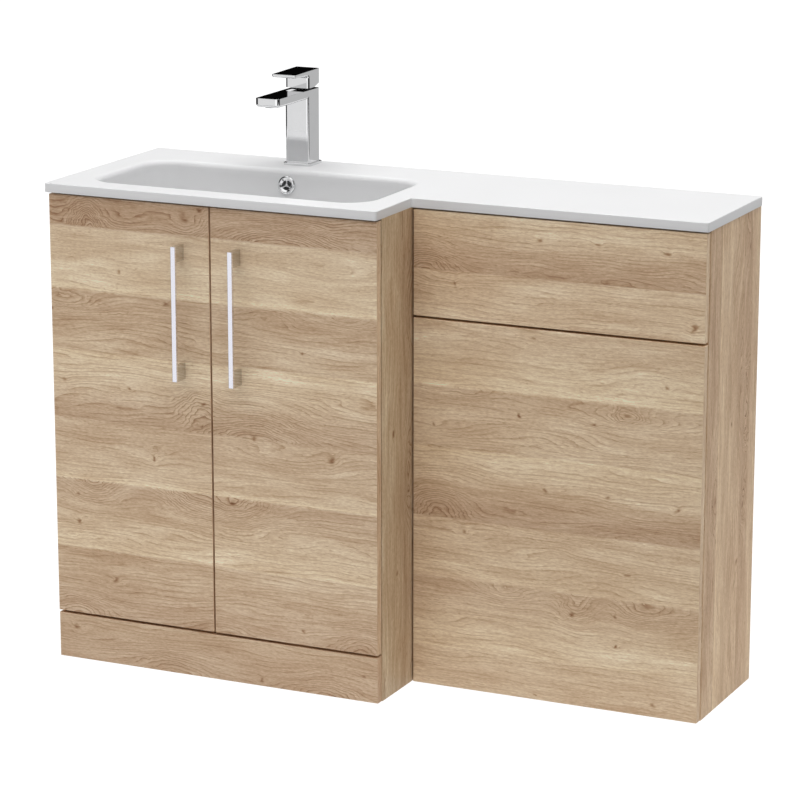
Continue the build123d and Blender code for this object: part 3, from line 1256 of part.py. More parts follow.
with BuildPart() as tap_grub_screw:
    with BuildSketch(front(TAP_Y + 3.0)):
        with Locations((TAP_X, 949.0)):
            Circle(2.0)
    extrude(amount=-6.0)
    with BuildSketch(front(TAP_Y + 9.0)):
        with Locations((TAP_X, 949.0)):
            RegularPolygon(1.15, 6)
    extrude(amount=2.5, mode=Mode.SUBTRACT)
tap_grub_screw.part.label = "tap_grub_screw"
export_step(tap_grub_screw.part, "parts/tap_grub_screw.step")

STUD_Y = TAP_Y - 9.0
with BuildPart() as tap_stud:
    with BuildSketch(plan(TOP_Z + 13.0, TAP_X, STUD_Y)):
        Circle(3.0)
    extrude(amount=-72)
tap_stud.part.label = "tap_stud"
export_step(tap_stud.part, "parts/tap_stud.step")

with BuildPart() as tap_fixing_washer:
    with BuildSketch(plan(SLAB_Z, TAP_X, TAP_Y)):
        Circle(21.5)
        with Locations((0, 3.0)):
            SlotOverall(30, 12.0, mode=Mode.SUBTRACT)
        with Locations((0, -9.0)):
            Circle(3.2, mode=Mode.SUBTRACT)
    extrude(amount=-3.0)
tap_fixing_washer.part.label = "tap_fixing_washer"
export_step(tap_fixing_washer.part, "parts/tap_fixing_washer.step")

with BuildPart() as tap_fixing_nut:
    with BuildSketch(plan(SLAB_Z - 3.0, TAP_X, STUD_Y)):
        RegularPolygon(5.5, 6)
        Circle(3.0, mode=Mode.SUBTRACT)
    extrude(amount=-18.0)
tap_fixing_nut.part.label = "tap_fixing_nut"
export_step(tap_fixing_nut.part, "parts/tap_fixing_nut.step")
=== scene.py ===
"""Looks of the L-shaped vanity unit: light oak boards in wide horizontal planks, a one-piece white basin top, a square
chrome tap and bar handles. All places are in metres in the part's own frame. Oak patterns are laid out in wall
millimetres: X from the basin's left end, Y from the wall (negative to the front), Z from the floor."""

import math

import bmesh
import bpy
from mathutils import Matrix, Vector

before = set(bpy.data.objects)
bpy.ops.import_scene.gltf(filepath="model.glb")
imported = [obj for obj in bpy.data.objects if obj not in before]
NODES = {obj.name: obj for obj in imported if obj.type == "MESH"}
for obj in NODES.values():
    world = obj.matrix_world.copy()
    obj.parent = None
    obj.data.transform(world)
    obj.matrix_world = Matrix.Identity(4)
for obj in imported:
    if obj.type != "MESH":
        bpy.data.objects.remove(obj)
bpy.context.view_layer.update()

WALL_X, WALL_Y = 550.0, -203.75  # wall millimetres = metres * 1000 + these


# ---------------------------------------------------------------- shader helpers
class Tree:
    """Builds a node tree by expressions: every call returns an output socket."""

    def __init__(self, tree):
        self.t = tree

    def node(self, kind, **props):
        n = self.t.nodes.new(kind)
        for k, v in props.items():
            setattr(n, k, v)
        return n

    def put(self, socket, value):
        if isinstance(value, bpy.types.NodeSocket):
            self.t.links.new(value, socket)
        elif value is not None:
            if isinstance(value, (tuple, list)) and len(value) == 3 and socket.type == "RGBA":
                value = (*value, 1.0)
            socket.default_value = value

    def m(self, op, a, b=None, c=None, clamp=False):
        n = self.node("ShaderNodeMath", operation=op, use_clamp=clamp)
        for s, v in zip(n.inputs, (a, b, c)):
            if v is not None:
                self.put(s, v)
        return n.outputs[0]

    def add(self, a, b):
        return self.m("ADD", a, b)

    def sub(self, a, b):
        return self.m("SUBTRACT", a, b)

    def mul(self, a, b):
        return self.m("MULTIPLY", a, b)

    def mad(self, a, b, c):
        return self.m("MULTIPLY_ADD", a, b, c)

    def v(self, op, a, b=None, c=None, out=0):
        n = self.node("ShaderNodeVectorMath", operation=op)
        for s, x in zip(n.inputs, (a, b, c)):
            if x is not None:
                self.put(s, x)
        return n.outputs[out]

    def xyz(self, x=0.0, y=0.0, z=0.0):
        n = self.node("ShaderNodeCombineXYZ")
        for s, x in zip(n.inputs, (x, y, z)):
            self.put(s, x)
        return n.outputs[0]

    def split(self, vec):
        n = self.node("ShaderNodeSeparateXYZ")
        self.put(n.inputs[0], vec)
        return n.outputs[0], n.outputs[1], n.outputs[2]

    def noise(self, vec, scale=1.0, detail=2.0, rough=0.5, lac=2.0, dist=0.0, color=False):
        n = self.node("ShaderNodeTexNoise", noise_dimensions="3D")
        self.put(n.inputs["Vector"], vec)
        for k, x in (("Scale", scale), ("Detail", detail), ("Roughness", rough), ("Lacunarity", lac), ("Distortion", dist)):
            self.put(n.inputs[k], x)
        return n.outputs["Color"] if color else n.outputs["Fac"]

    def ramp(self, fac, stops, mode="LINEAR"):
        """stops: [(position, (r, g, b))] with linear colours."""
        n = self.node("ShaderNodeValToRGB")
        r = n.color_ramp
        r.interpolation = mode
        while len(r.elements) > 1:
            r.elements.remove(r.elements[-1])
        r.elements[0].position = stops[0][0]
        r.elements[0].color = (*stops[0][1], 1.0)
        for pos, col in stops[1:]:
            e = r.elements.new(min(pos, 1.0))
            e.color = (*col, 1.0)
        self.put(n.inputs[0], fac)
        return n.outputs[0]

    def smooth(self, x, lo, hi, to_lo=0.0, to_hi=1.0):
        n = self.node("ShaderNodeMapRange", interpolation_type="SMOOTHSTEP")
        for s, val in zip(n.inputs, (x, lo, hi, to_lo, to_hi)):
            self.put(s, val)
        return n.outputs[0]

    def linear(self, x, lo, hi, to_lo=0.0, to_hi=1.0):
        n = self.node("ShaderNodeMapRange", interpolation_type="LINEAR", clamp=True)
        for s, val in zip(n.inputs, (x, lo, hi, to_lo, to_hi)):
            self.put(s, val)
        return n.outputs[0]

    def mix(self, fac, a, b, blend="MIX"):
        n = self.node("ShaderNodeMix", data_type="RGBA", blend_type=blend, clamp_factor=True)
        self.put(n.inputs[0], fac)
        self.put(n.inputs[6], a)
        self.put(n.inputs[7], b)
        return n.outputs[2]

    def mixf(self, fac, a, b):
        n = self.node("ShaderNodeMix", data_type="FLOAT", clamp_factor=True)
        self.put(n.inputs[0], fac)
        self.put(n.inputs[2], a)
        self.put(n.inputs[3], b)
        return n.outputs[0]

    def scale_color(self, color, k):
        """Colour times a number."""
        return self.v("MULTIPLY", color, self.xyz(k, k, k))

    def bump(self, height, distance, strength=1.0, normal=None):
        n = self.node("ShaderNodeBump")
        self.put(n.inputs["Strength"], strength)
        self.put(n.inputs["Distance"], distance)
        self.put(n.inputs["Height"], height)
        if normal is not None:
            self.put(n.inputs["Normal"], normal)
        return n.outputs[0]


def material(name):
    m = bpy.data.materials.new(name)
    m.use_nodes = True
    m.node_tree.nodes.clear()
    t = Tree(m.node_tree)
    out = t.node("ShaderNodeOutputMaterial")
    p = t.node("ShaderNodeBsdfPrincipled")
    m.node_tree.links.new(p.outputs[0], out.inputs[0])
    return m, t, p


def setp(t, p, **kw):
    """Values or sockets onto the shader's own sockets, by name with _ for a space."""
    for k, val in kw.items():
        t.put(p.inputs[k.replace("_", " ")], val)


def lin(rgb):
    """8-bit display colour to linear."""
    return tuple((c / 255 / 12.92) if c <= 10.31 else ((c / 255 + 0.055) / 1.055) ** 2.4 for c in rgb)


def dress(mat, *names):
    for n in names:
        o = NODES[n]
        o.data.materials.clear()
        o.data.materials.append(mat)


# ---------------------------------------------------------------- oak
WOOD_GAIN = 1.0 / 0.64  # the boards' own colour over what is seen of it under this light
OAK_DARK, OAK_LIGHT = (171, 144, 118), (211, 193, 164)


def oak_tone(k):
    """Display colour of a plank between the dark and the light oak."""
    return tuple(max(0.0, a + (b - a) * k) for a, b in zip(OAK_DARK, OAK_LIGHT))


def oak(
    name,
    grain,
    tones,
    planks,
    bumps=(),
    knots=(),
    side_fade=None,
    gain=(1.0, 1.0, 1.0),
    shift=(0.0, 0.0),
    ring=7.0,
    warp=24.0,
):
    """Oak decor board.

    grain: "front" for boards with horizontal grain that face forward, "side" for upright grain on a face that looks
    sideways, "flat" for a level board.
    tones: [(v mm, tone)] along the direction across the grain, 0 dark to 1 light; planks: [(v mm, seed, ring contrast)].
    bumps: (u, v, half length, half height, lift mm) that bend the grain lines; knots: the same with a dark core.
    """
    m, t, p = material(name)
    tc = t.node("ShaderNodeTexCoord")
    x, y, z = t.split(tc.outputs["Object"])
    nx, ny, nz = t.split(tc.outputs["Normal"])
    X = t.mad(x, 1000.0, WALL_X)
    Y = t.mad(y, 1000.0, WALL_Y)
    Z = t.mul(z, 1000.0)
    ax = t.m("GREATER_THAN", t.m("ABSOLUTE", nx), 0.7)
    ay = t.m("GREATER_THAN", t.m("ABSOLUTE", ny), 0.7)
    az = t.m("GREATER_THAN", t.m("ABSOLUTE", nz), 0.7)
    if grain == "front":  # faces forward: along X, across Z; edges keep their grain lengthwise
        u = t.mixf(ax, X, Z)
        v = t.mixf(ay, t.mul(Y, 1.0), Z)
    elif grain == "side":  # faces sideways: along Z, across Y
        u = t.mixf(az, Z, Y)
        v = t.mixf(ax, X, Y)
    else:  # level: along X, across Y
        u = t.mixf(ax, X, Y)
        v = t.mixf(az, Z, Y)
    u = t.add(u, shift[0])
    v = t.add(v, shift[1])
    lo = min(tones[0][0], planks[0][0]) - 1.0
    hi = max(tones[-1][0], planks[-1][0]) + 1.0
    span = hi - lo
    f = t.mad(v, 1.0 / span, -lo / span)
    base = t.ramp(f, [((a - lo) / span, tuple(c * g * WOOD_GAIN for c, g in zip(lin(oak_tone(k)), gain))) for a, k in tones])
    pl = t.ramp(f, [((a - lo) / span, (s, k, 0.0)) for a, s, k in planks], "CONSTANT")
    seed, contrast, _ = t.split(pl)

    # grain height field, in millimetres
    off = t.mul(seed, 37.0)
    q1 = t.xyz(t.mul(u, 1 / 210.0), t.mul(v, 1 / 46.0), off)
    n1 = t.sub(t.noise(q1, 1.0, 1.0, 0.4), 0.5)
    q2 = t.xyz(t.mul(u, 1 / 60.0), t.mul(v, 1 / 13.0), t.add(off, 5.3))
    n2 = t.sub(t.noise(q2, 1.0, 2.0, 0.55), 0.5)
    h = t.mad(n1, warp * 2.0, v)
    h = t.mad(n2, 6.5, h)
    wob = t.v("SUBTRACT", t.noise(t.xyz(t.mul(u, 1 / 26.0), t.mul(v, 1 / 15.0), off), 1.0, 2.0, 0.5, color=True), (0.5, 0.5, 0.5))
    uv = t.v("MULTIPLY_ADD", wob, (26.0, 11.0, 0.0), t.xyz(u, v, 0.0))
    core = None
    swirl = None

    def hump(at, bu, bv, a, b):
        d = t.v("MULTIPLY_ADD", at, (1 / a, 1 / b, 0.0), (-bu / a, -bv / b, 0.0))
        return t.m("POWER", 0.36788, t.v("DOT_PRODUCT", d, d, out=1))

    # each plank's own swirls stop at its edges
    ends = [k[0] for k in planks]
    for p0, p1 in zip([-1e4] + ends[1:], ends[1:] + [1e4]):
        own = [k for k in bumps if p0 <= k[1] < p1]
        if not own:
            continue
        lift_sum = swirl_sum = None
        for bu, bv, a, b, lift in own:
            e = hump(uv, bu, bv, a, b)
            w = min(1.0, abs(lift) / 42.0)
            lift_sum = t.mul(e, lift) if lift_sum is None else t.mad(e, lift, lift_sum)
            swirl_sum = t.mul(e, w) if swirl_sum is None else t.mad(e, w, swirl_sum)
        mask = t.mul(t.m("GREATER_THAN", v, p0), t.m("LESS_THAN", v, p1))
        h = t.mad(lift_sum, mask, h)
        swirl = t.mul(swirl_sum, mask) if swirl is None else t.mad(swirl_sum, mask, swirl)
    for bu, bv, a, b, lift, amount in knots:
        e = hump(uv, bu, bv, a, b)
        h = t.mad(e, lift, h)
        c = t.m("POWER", e, 11.0)
        core = t.mul(c, amount) if core is None else t.mad(c, amount, core)

    # growth rings: a dark late-wood line with a soft tail, fading in and out along its length
    fade = t.noise(t.xyz(t.mul(u, 1 / 95.0), t.mul(v, 1 / 9.0), t.add(off, 2.1)), 1.0, 2.0, 0.6)
    fade = t.smooth(fade, 0.34, 0.62)
    if swirl is not None:
        swirl = t.m("MINIMUM", swirl, 1.0)
        fade = t.m("MAXIMUM", fade, t.mul(swirl, 0.9))
    r1 = t.m("FRACT", t.mul(h, 1.0 / ring))
    line = t.m("POWER", r1, 5.0)
    line = t.mul(line, t.smooth(r1, 1.0, 0.93))
    r2 = t.m("FRACT", t.mad(h, 1.0 / (ring * 0.41), 0.37))
    line2 = t.m("POWER", r2, 3.0)
    fade2 = t.smooth(t.noise(t.xyz(t.mul(u, 1 / 50.0), t.mul(v, 1 / 5.0), t.add(off, 8.7)), 1.0, 1.0), 0.45, 0.75)
    rings = t.mul(t.mad(t.mul(line2, fade2), 0.45, t.mul(t.mul(line, fade), 1.35)), contrast)
    if swirl is not None:
        rings = t.mul(rings, t.mad(swirl, 0.9, 0.85))

    # fibre, streaks, short dark pores and slow mottling
    flow = t.mad(h, 0.14, v)
    fib = t.noise(t.xyz(t.mul(u, 1 / 8.0), t.mul(flow, 1 / 1.9), off), 1.0, 2.0, 0.62)
    streak = t.noise(t.xyz(t.mul(u, 1 / 58.0), t.mul(flow, 1 / 3.6), t.add(off, 21.0)), 1.0, 2.0, 0.55)
    pore = t.smooth(t.noise(t.xyz(t.mul(u, 1 / 8.5), t.mul(v, 1 / 1.9), t.add(off, 3.0)), 1.0, 1.0, 0.5), 0.60, 0.72)
    pore = t.mul(pore, t.smooth(t.noise(t.xyz(t.mul(u, 1 / 160.0), t.mul(v, 1 / 18.0), off), 1.0, 1.0), 0.32, 0.60))
    mot = t.sub(t.noise(t.xyz(t.mul(u, 1 / 120.0), t.mul(h, 1 / 15.0), t.add(off, 11.0)), 1.0, 2.0, 0.55), 0.5)
    mot2 = t.sub(t.noise(t.xyz(t.mul(u, 1 / 260.0), t.mul(v, 1 / 40.0), t.add(off, 17.0)), 1.0, 1.0, 0.5), 0.5)

    # one brightness figure, then colour: darker is also redder
    dark = t.mul(rings, 0.43)
    dark = t.mad(t.sub(fib, 0.5), -0.56, dark)
    dark = t.mad(t.sub(streak, 0.5), -0.28, dark)
    dark = t.mad(pore, 0.16, dark)
    dark = t.mad(mot, -0.50, dark)
    dark = t.mad(mot2, -0.32, dark)
    if side_fade is not None:
        a, b, k = side_fade
        dark = t.add(dark, t.smooth(X, a, b, k, 0.0))
    if core is not None:
        dark = t.mad(core, 1.25, dark)
    r = t.m("POWER", 2.71828, t.mul(dark, -1.0))
    g = t.m("POWER", 2.71828, t.mul(dark, -1.45))
    b = t.m("POWER", 2.71828, t.mul(dark, -1.85))
    color = t.v("MULTIPLY", base, t.xyz(r, g, b))
    height = t.mad(fib, 0.35, t.mul(pore, -0.6))
    height = t.mad(rings, -0.35, height)
    if core is not None:
        height = t.mad(core, -0.8, height)
    rough = t.mad(t.sub(fib, 0.5), 0.16, t.mad(mot2, 0.10, t.mad(pore, 0.10, 0.50)))
    setp(
        t, p,
        Base_Color=color, Roughness=rough, Normal=t.bump(height, 0.00022, 0.8),
        Specular_IOR_Level=0.32, IOR=1.5,
    )
    return m


FRONT_TONES = [
    (0, 0.06), (40, 0.16), (72, 0.29), (78, 0.29), (81, 0.03), (120, 0.19), (160, 0.35), (194.8, 0.39), (196, 0.78),
    (225, 0.65), (262, 0.48), (300, 0.22), (313, 0.26), (314.5, 0.91), (324, 0.58), (350, 0.48), (385, 0.39),
    (415, 0.35), (416.5, 0.19), (450, 0.29), (480, 0.55), (510, 0.71), (533, 0.87), (534.5, 0.52), (570, 0.42),
    (634, 0.32), (635.5, 1.0), (648, 0.78), (690, 0.68), (738, 0.55), (739.5, 0.09), (790, 0.03),
]
FRONT_PLANKS = [
    (0, 0.11, 0.9), (78, 0.23, 0.9), (196, 0.37, 0.9), (314.5, 0.41, 0.7), (416.5, 0.59, 1.0),
    (534.5, 0.67, 0.9), (635.5, 0.73, 0.45), (739.5, 0.83, 1.3), (800, 0.9, 1.0),
]
FRONT_BUMPS = [
    (78, 752, 24, 34, -46), (20, 745, 30, 30, 18), (150, 752, 50, 26, 16), (262, 752, 30, 30, 24), (421, 740, 105, 34, -66),
    (520, 770, 30, 20, 14), (540, 700, 70, 30, 12), (215, 700, 90, 26, -8), (36, 617, 62, 17, 34), (165, 583, 85, 24, -20),
    (410, 622, 46, 14, -20), (556, 624, 44, 13, 20), (300, 560, 60, 22, 10), (278, 462, 34, 36, -40), (200, 440, 60, 24, -14),
    (375, 417, 96, 56, -82), (60, 470, 70, 18, -8), (540, 470, 90, 22, 14), (190, 370, 60, 20, 12), (470, 385, 90, 34, 20),
    (90, 395, 60, 16, 10), (81, 314, 42, 34, 48), (255, 313, 40, 40, 40), (338, 306, 66, 46, 70), (470, 270, 110, 20, -14),
    (60, 225, 90, 16, -8), (48, 88, 52, 22, -40), (571, 88, 46, 30, -40), (316, 88, 60, 24, -22), (200, 130, 110, 22, 8),
    (231, 8, 72, 30, -38), (506, 2, 62, 32, -42), (60, 40, 60, 18, 10),
]
FRONT_KNOTS = [
    (287, 783, 12, 10, 8, 0.7), (133, 671, 12, 7, 5, 0.5), (5, 600, 12, 9, 6, 0.8), (222, 625, 13, 8, 6, 0.5),
    (467, 568, 9, 6, 5, 0.6), (30, 482, 12, 7, 5, 0.4), (147, 476, 10, 7, 5, 0.6), (285, 467, 11, 9, 6, 0.5),
    (285, 427, 12, 8, 6, 0.5), (380, 418, 14, 8, 6, 0.5), (193, 364, 12, 14, 8, 0.7), (520, 397, 12, 18, 8, 0.6),
    (48, 239, 10, 11, 7, 0.7), (338, 303, 16, 9, 8, 0.8), (51, 287, 10, 9, 6, 0.4), (117, 147, 14, 11, 9, 0.6),
    (465, 105, 10, 6, 5, 0.6), (40, 55, 14, 11, 9, 0.5), (390, 12, 9, 7, 5, 0.5), (573, 42, 10, 7, 5, 0.4),
]
WC_TONES = [
    (0, 0.29), (35, 0.35), (68, 0.42), (69.5, 0.61), (100, 0.55), (130, 0.39), (160, 0.22), (186, 0.19),
    (187.5, 0.55), (220, 0.48), (286, 0.39), (287.5, 0.0), (310, 0.06), (340, 0.35), (370, 0.55), (396, 0.65),
    (404, 0.81), (405.5, 0.42), (450, 0.39), (505, 0.29), (506.5, 0.81), (550, 0.61), (580, 0.42), (612, 0.39),
    (618, 0.42), (694, 0.42), (695.5, 0.03), (730, 0.19), (760, 0.48), (790, 0.55),
]
WC_PLANKS = [
    (0, 0.17, 0.6), (69.5, 0.29, 0.7), (187.5, 0.83, 0.8), (287.5, 0.61, 0.9), (405.5, 0.71, 0.8),
    (506.5, 0.31, 0.6), (617, 0.83, 0.8), (695.5, 0.61, 0.9), (800, 0.9, 1.0),
]
WC_BUMPS = [
    (622, 700, 52, 44, -60), (780, 716, 110, 18, -12), (952, 704, 72, 15, -22), (1060, 720, 40, 20, -12), (652, 680, 40, 20, 14),
    (640, 495, 40, 12, 18), (700, 497, 34, 12, 18), (972, 484, 78, 13, 30), (972, 492, 26, 18, 26), (810, 440, 90, 20, -12), (960, 440, 60, 18, 10),
    (642, 300, 52, 46, -60), (800, 318, 110, 18, -12), (972, 296, 72, 15, -22), (690, 262, 50, 16, 10), (860, 255, 30, 18, -8),
    (767, 172, 44, 20, 28), (892, 168, 32, 36, 40), (1002, 178, 46, 34, 42), (1070, 182, 40, 20, 16), (860, 60, 160, 22, 10),
    (700, 95, 120, 16, -8),
]
WC_KNOTS = [
    (818, 758, 11, 9, 7, 0.6), (918, 758, 12, 7, 6, 0.5), (1035, 753, 11, 8, 7, 0.6), (673, 675, 10, 12, 6, 0.5),
    (1080, 640, 12, 18, 8, 0.6), (810, 598, 12, 6, 5, 0.4), (1040, 542, 9, 9, 5, 0.5), (790, 470, 10, 11, 7, 0.9),
    (918, 470, 12, 7, 6, 0.6), (638, 440, 8, 7, 4, 0.4), (836, 352, 12, 9, 6, 0.5), (940, 352, 12, 6, 5, 0.4),
    (1057, 345, 11, 8, 7, 0.6), (692, 268, 10, 12, 6, 0.5), (975, 230, 11, 7, 5, 0.4), (880, 152, 12, 10, 7, 0.6),
    (958, 158, 8, 8, 5, 0.6), (958, 110, 9, 10, 6, 0.9), (1027, 18, 12, 11, 7, 0.4), (820, 8, 8, 5, 4, 0.5),
]


def near(items, x0, x1, z0, z1, pad=25):
    """Only the features that reach a board."""
    return [i for i in items if x0 - pad - i[2] < i[0] < x1 + pad + i[2] and z0 - pad < i[1] < z1 + pad]


def clip_stops(stops, z0, z1):
    """Stops that matter between two levels, with the one before and the one after."""
    keep = [i for i, s in enumerate(stops) if z0 <= s[0] <= z1]
    a, b = max(0, keep[0] - 1), min(len(stops), keep[-1] + 2)
    return stops[a:b]


def front_oak(name, x0, x1, z0, z1, wc=False, **kw):
    tones, planks = (WC_TONES, WC_PLANKS) if wc else (FRONT_TONES, FRONT_PLANKS)
    return oak(
        name, "front", clip_stops(tones, z0, z1), clip_stops(planks, z0 - 120, z1 + 5),
        near(WC_BUMPS if wc else FRONT_BUMPS, x0, x1, z0, z1), near(WC_KNOTS if wc else FRONT_KNOTS, x0, x1, z0, z1), **kw,
    )


dress(front_oak("oak_left_door", 6, 302, 81, 790), "left_door")
dress(front_oak("oak_right_door", 304, 599, 81, 790), "right_door")
dress(front_oak("oak_plinth", 6, 599, 0, 77), "plinth_panel")
dress(front_oak("oak_cistern_front", 602, 1098, 4, 613, wc=True, gain=(1.03, 1.04, 1.03)), "wc_front_panel")
dress(front_oak("oak_access_panel", 602, 1098, 617, 790, wc=True, gain=(1.06, 1.07, 1.06)), "wc_access_panel")

SIDE_TONES = [
    (-385, 0.53), (-360, 0.55), (-300, 0.46), (-292, 0.27), (-251, 0.23), (-233, 0.25), (-181, 0.32), (-179, 0.78),
    (-170, 0.60), (-120, 0.46), (-76, 0.41), (-74, 0.23), (-36, 0.30), (-34, 0.39), (2, 0.34),
]
SIDE_PLANKS = [(-385, 0.21, 0.9), (-291, 0.47, 1.0), (-180, 0.55, 0.8), (-75, 0.63, 1.1), (-35, 0.77, 0.4), (5, 0.8, 0.4)]
# painted shade: the vanity's right side, in the notch beside the cistern panel, has its oak colour lowered to about
# 0.77 for the shade in that corner
dress(
    oak(
        "oak_vanity_right_side", "side", SIDE_TONES, SIDE_PLANKS,
        [(350, -268, 70, 22, 40), (160, -262, 90, 20, 20), (628, -262, 90, 26, 34)],
        [(438, -320, 10, 7, 6, 0.7), (330, -262, 11, 8, 6, 0.6), (205, -305, 11, 8, 6, 0.6)], gain=(0.77, 0.775, 0.75),
    ),
    "vanity_side_right",
)
dress(
    oak(
        "oak_cistern_side", "side", SIDE_TONES, SIDE_PLANKS,
        [
            (352, -198, 70, 22, 40), (175, -198, 90, 20, 22), (490, -82, 150, 46, 44), (760, -110, 90, 40, -24),
            (520, -52, 34, 18, 52), (470, -52, 26, 18, 46), (430, -54, 22, 18, 42), (318, -56, 40, 16, 40), (740, -50, 60, 20, -30),
            (120, -110, 120, 34, 26),
        ],
        [
            (463, -118, 9, 6, 6, 0.7), (530, -52, 6, 11, 5, 0.5), (462, -52, 6, 13, 5, 0.6), (434, -52, 6, 12, 5, 0.5),
            (345, -200, 9, 8, 6, 0.5), (313, -58, 12, 8, 6, 0.6), (222, -80, 11, 8, 6, 0.6), (735, -48, 12, 9, 6, 0.6),
        ],
        gain=(0.94, 0.895, 0.84),
    ),
    "wc_side_right",
)
dress(oak("oak_left_sides", "side", SIDE_TONES, SIDE_PLANKS, shift=(130.0, 0.0)), "vanity_side_left", "wc_side_left")
LEVEL_TONES = [
    (-385, 0.42), (-290, 0.48), (-288, 0.22), (-181, 0.35), (-179, 0.61), (-90, 0.45), (-88, 0.19), (5, 0.29),
]
LEVEL_PLANKS = [(-385, 0.13, 0.8), (-289, 0.33, 0.9), (-180, 0.43, 0.7), (-89, 0.53, 0.9), (5, 0.6, 0.8)]
dress(oak("oak_inner_level", "flat", LEVEL_TONES, LEVEL_PLANKS), "vanity_base", "vanity_shelf")
dress(
    oak("oak_rails", "front", [FRONT_TONES[0], FRONT_TONES[20], FRONT_TONES[-1]], FRONT_PLANKS, shift=(0.0, 9.0)),
    "vanity_front_rail", "vanity_back_rail_upper", "vanity_back_rail_lower",
    "wc_front_rail_upper", "wc_front_rail_middle", "wc_front_rail_lower", "wc_back_rails",
)


# ---------------------------------------------------------------- other materials
def metal(name, color, rough, vary=0.05, bump=0.0, brush=None, grime=0.0, post_shade_and_reflection=None):
    """Metal with a cloudy polish. The post colour is a painted darker, warmer tint on a handle's parts behind the
    bar's front: painted shade there and a painted reflection of the wood they face.
    """
    m, t, p = material(name)
    tc = t.node("ShaderNodeTexCoord")
    pos = t.v("MULTIPLY", tc.outputs["Object"], (1000.0, 1000.0, 1000.0))
    cloud = t.noise(pos, 0.045, 3.0, 0.55)
    fine = t.noise(t.v("MULTIPLY", pos, brush) if brush else pos, 0.9 if brush else 0.35, 3.0, 0.6)
    r = t.mad(t.sub(cloud, 0.5), vary, t.mad(t.sub(fine, 0.5), vary * 0.8, rough))
    tint = color
    # painted shade and painted wood reflection on the handle parts behind the bar's front
    if post_shade_and_reflection is not None:
        qx, qy, qz = t.split(pos)
        tint = t.mix(t.smooth(t.add(qy, WALL_Y), -404.0, -402.0), color, post_shade_and_reflection)
    base = t.scale_color(tint, t.mad(t.sub(fine, 0.5), 0.05 + grime, t.mad(t.sub(cloud, 0.5), 0.05 + grime, 1.0)))
    setp(t, p, Base_Color=base, Metallic=1.0, Roughness=t.m("MAXIMUM", r, 0.02))
    if bump:
        t.put(p.inputs["Normal"], t.bump(fine, bump, 0.5))
    return m


def plastic(name, color, rough, spec=0.5, bump=0.00005, vary=0.06, trans=0.0):
    m, t, p = material(name)
    tc = t.node("ShaderNodeTexCoord")
    pos = t.v("MULTIPLY", tc.outputs["Object"], (1000.0, 1000.0, 1000.0))
    cloud = t.noise(pos, 0.06, 3.0, 0.55)
    fine = t.noise(pos, 1.1, 3.0, 0.6)
    base = t.scale_color(color, t.mad(t.sub(cloud, 0.5), vary, t.mad(t.sub(fine, 0.5), 0.04, 1.0)))
    setp(
        t, p, Base_Color=base, Roughness=t.mad(t.sub(fine, 0.5), 0.12, rough),
        Normal=t.bump(fine, bump, 0.6), Specular_IOR_Level=spec, Transmission_Weight=trans,
    )
    return m


def ceramic(name, color, rough):
    """Cast white gloss with a faint unevenness and softer polish in patches, with painted shade greyer down in the
    bowl, a painted light band on the front edges and painted shade on the level top.
    """
    m, t, p = material(name)
    tc = t.node("ShaderNodeTexCoord")
    pos = t.v("MULTIPLY", tc.outputs["Object"], (1000.0, 1000.0, 1000.0))
    cloud = t.noise(pos, 0.011, 3.0, 0.5)
    fine = t.noise(pos, 0.16, 3.0, 0.55)
    px, py, pz = t.split(pos)
    # painted shade: the glaze greys with depth down the bowl, standing in for the shade inside it; cloud and fine
    # noise add a faint real unevenness
    bowl_shade_and_mottle = t.mul(t.smooth(pz, 806.0, 790.0, 1.0, 0.915), t.smooth(pz, 790.0, 705.0, 1.0, 0.885))
    bowl_shade_and_mottle = t.mad(t.sub(cloud, 0.5), 0.02, t.mad(t.sub(fine, 0.5), 0.008, bowl_shade_and_mottle))
    nx, ny, nz = t.split(tc.outputs["Normal"])
    # painted light: forward-facing faces outside the bowl, the slab's front edges, are made 12% brighter
    front_edge_light = t.mul(t.smooth(ny, -0.5, -0.95), t.m("MAXIMUM", t.m("LESS_THAN", t.add(py, WALL_Y), -338.0), t.m("GREATER_THAN", px, 50.0)))
    # painted shade: the level top of the slab is made 10% darker, up to 13.5% towards the left end, for how light
    # falls on it
    level = t.mul(t.smooth(nz, 0.35, 0.85), t.m("GREATER_THAN", pz, 797.0))
    level = t.mul(level, t.smooth(px, 0.0, -450.0, 0.10, 0.135))
    base = t.scale_color(color, t.mul(bowl_shade_and_mottle, t.sub(t.mad(front_edge_light, 0.12, 1.0), level)))
    r = t.mad(t.sub(cloud, 0.5), 0.08, t.mad(t.sub(fine, 0.5), 0.05, rough))
    setp(
        t, p, Base_Color=base, Roughness=r, Specular_IOR_Level=0.13, Coat_Weight=0.0,
        Normal=t.bump(t.mad(cloud, 0.7, t.mul(fine, 0.3)), 0.0003, 0.25),
    )
    return m


dress(ceramic("basin_white", (0.815, 0.815, 0.82), 0.42), "basin_top", "basin_bowl")
chrome = metal("polished_chrome", (0.74, 0.743, 0.75), 0.035, 0.02)
dress(chrome, "overflow_ring", "waste_body", "waste_plug", "tap_base_ring", "tap_body", "tap_lever")
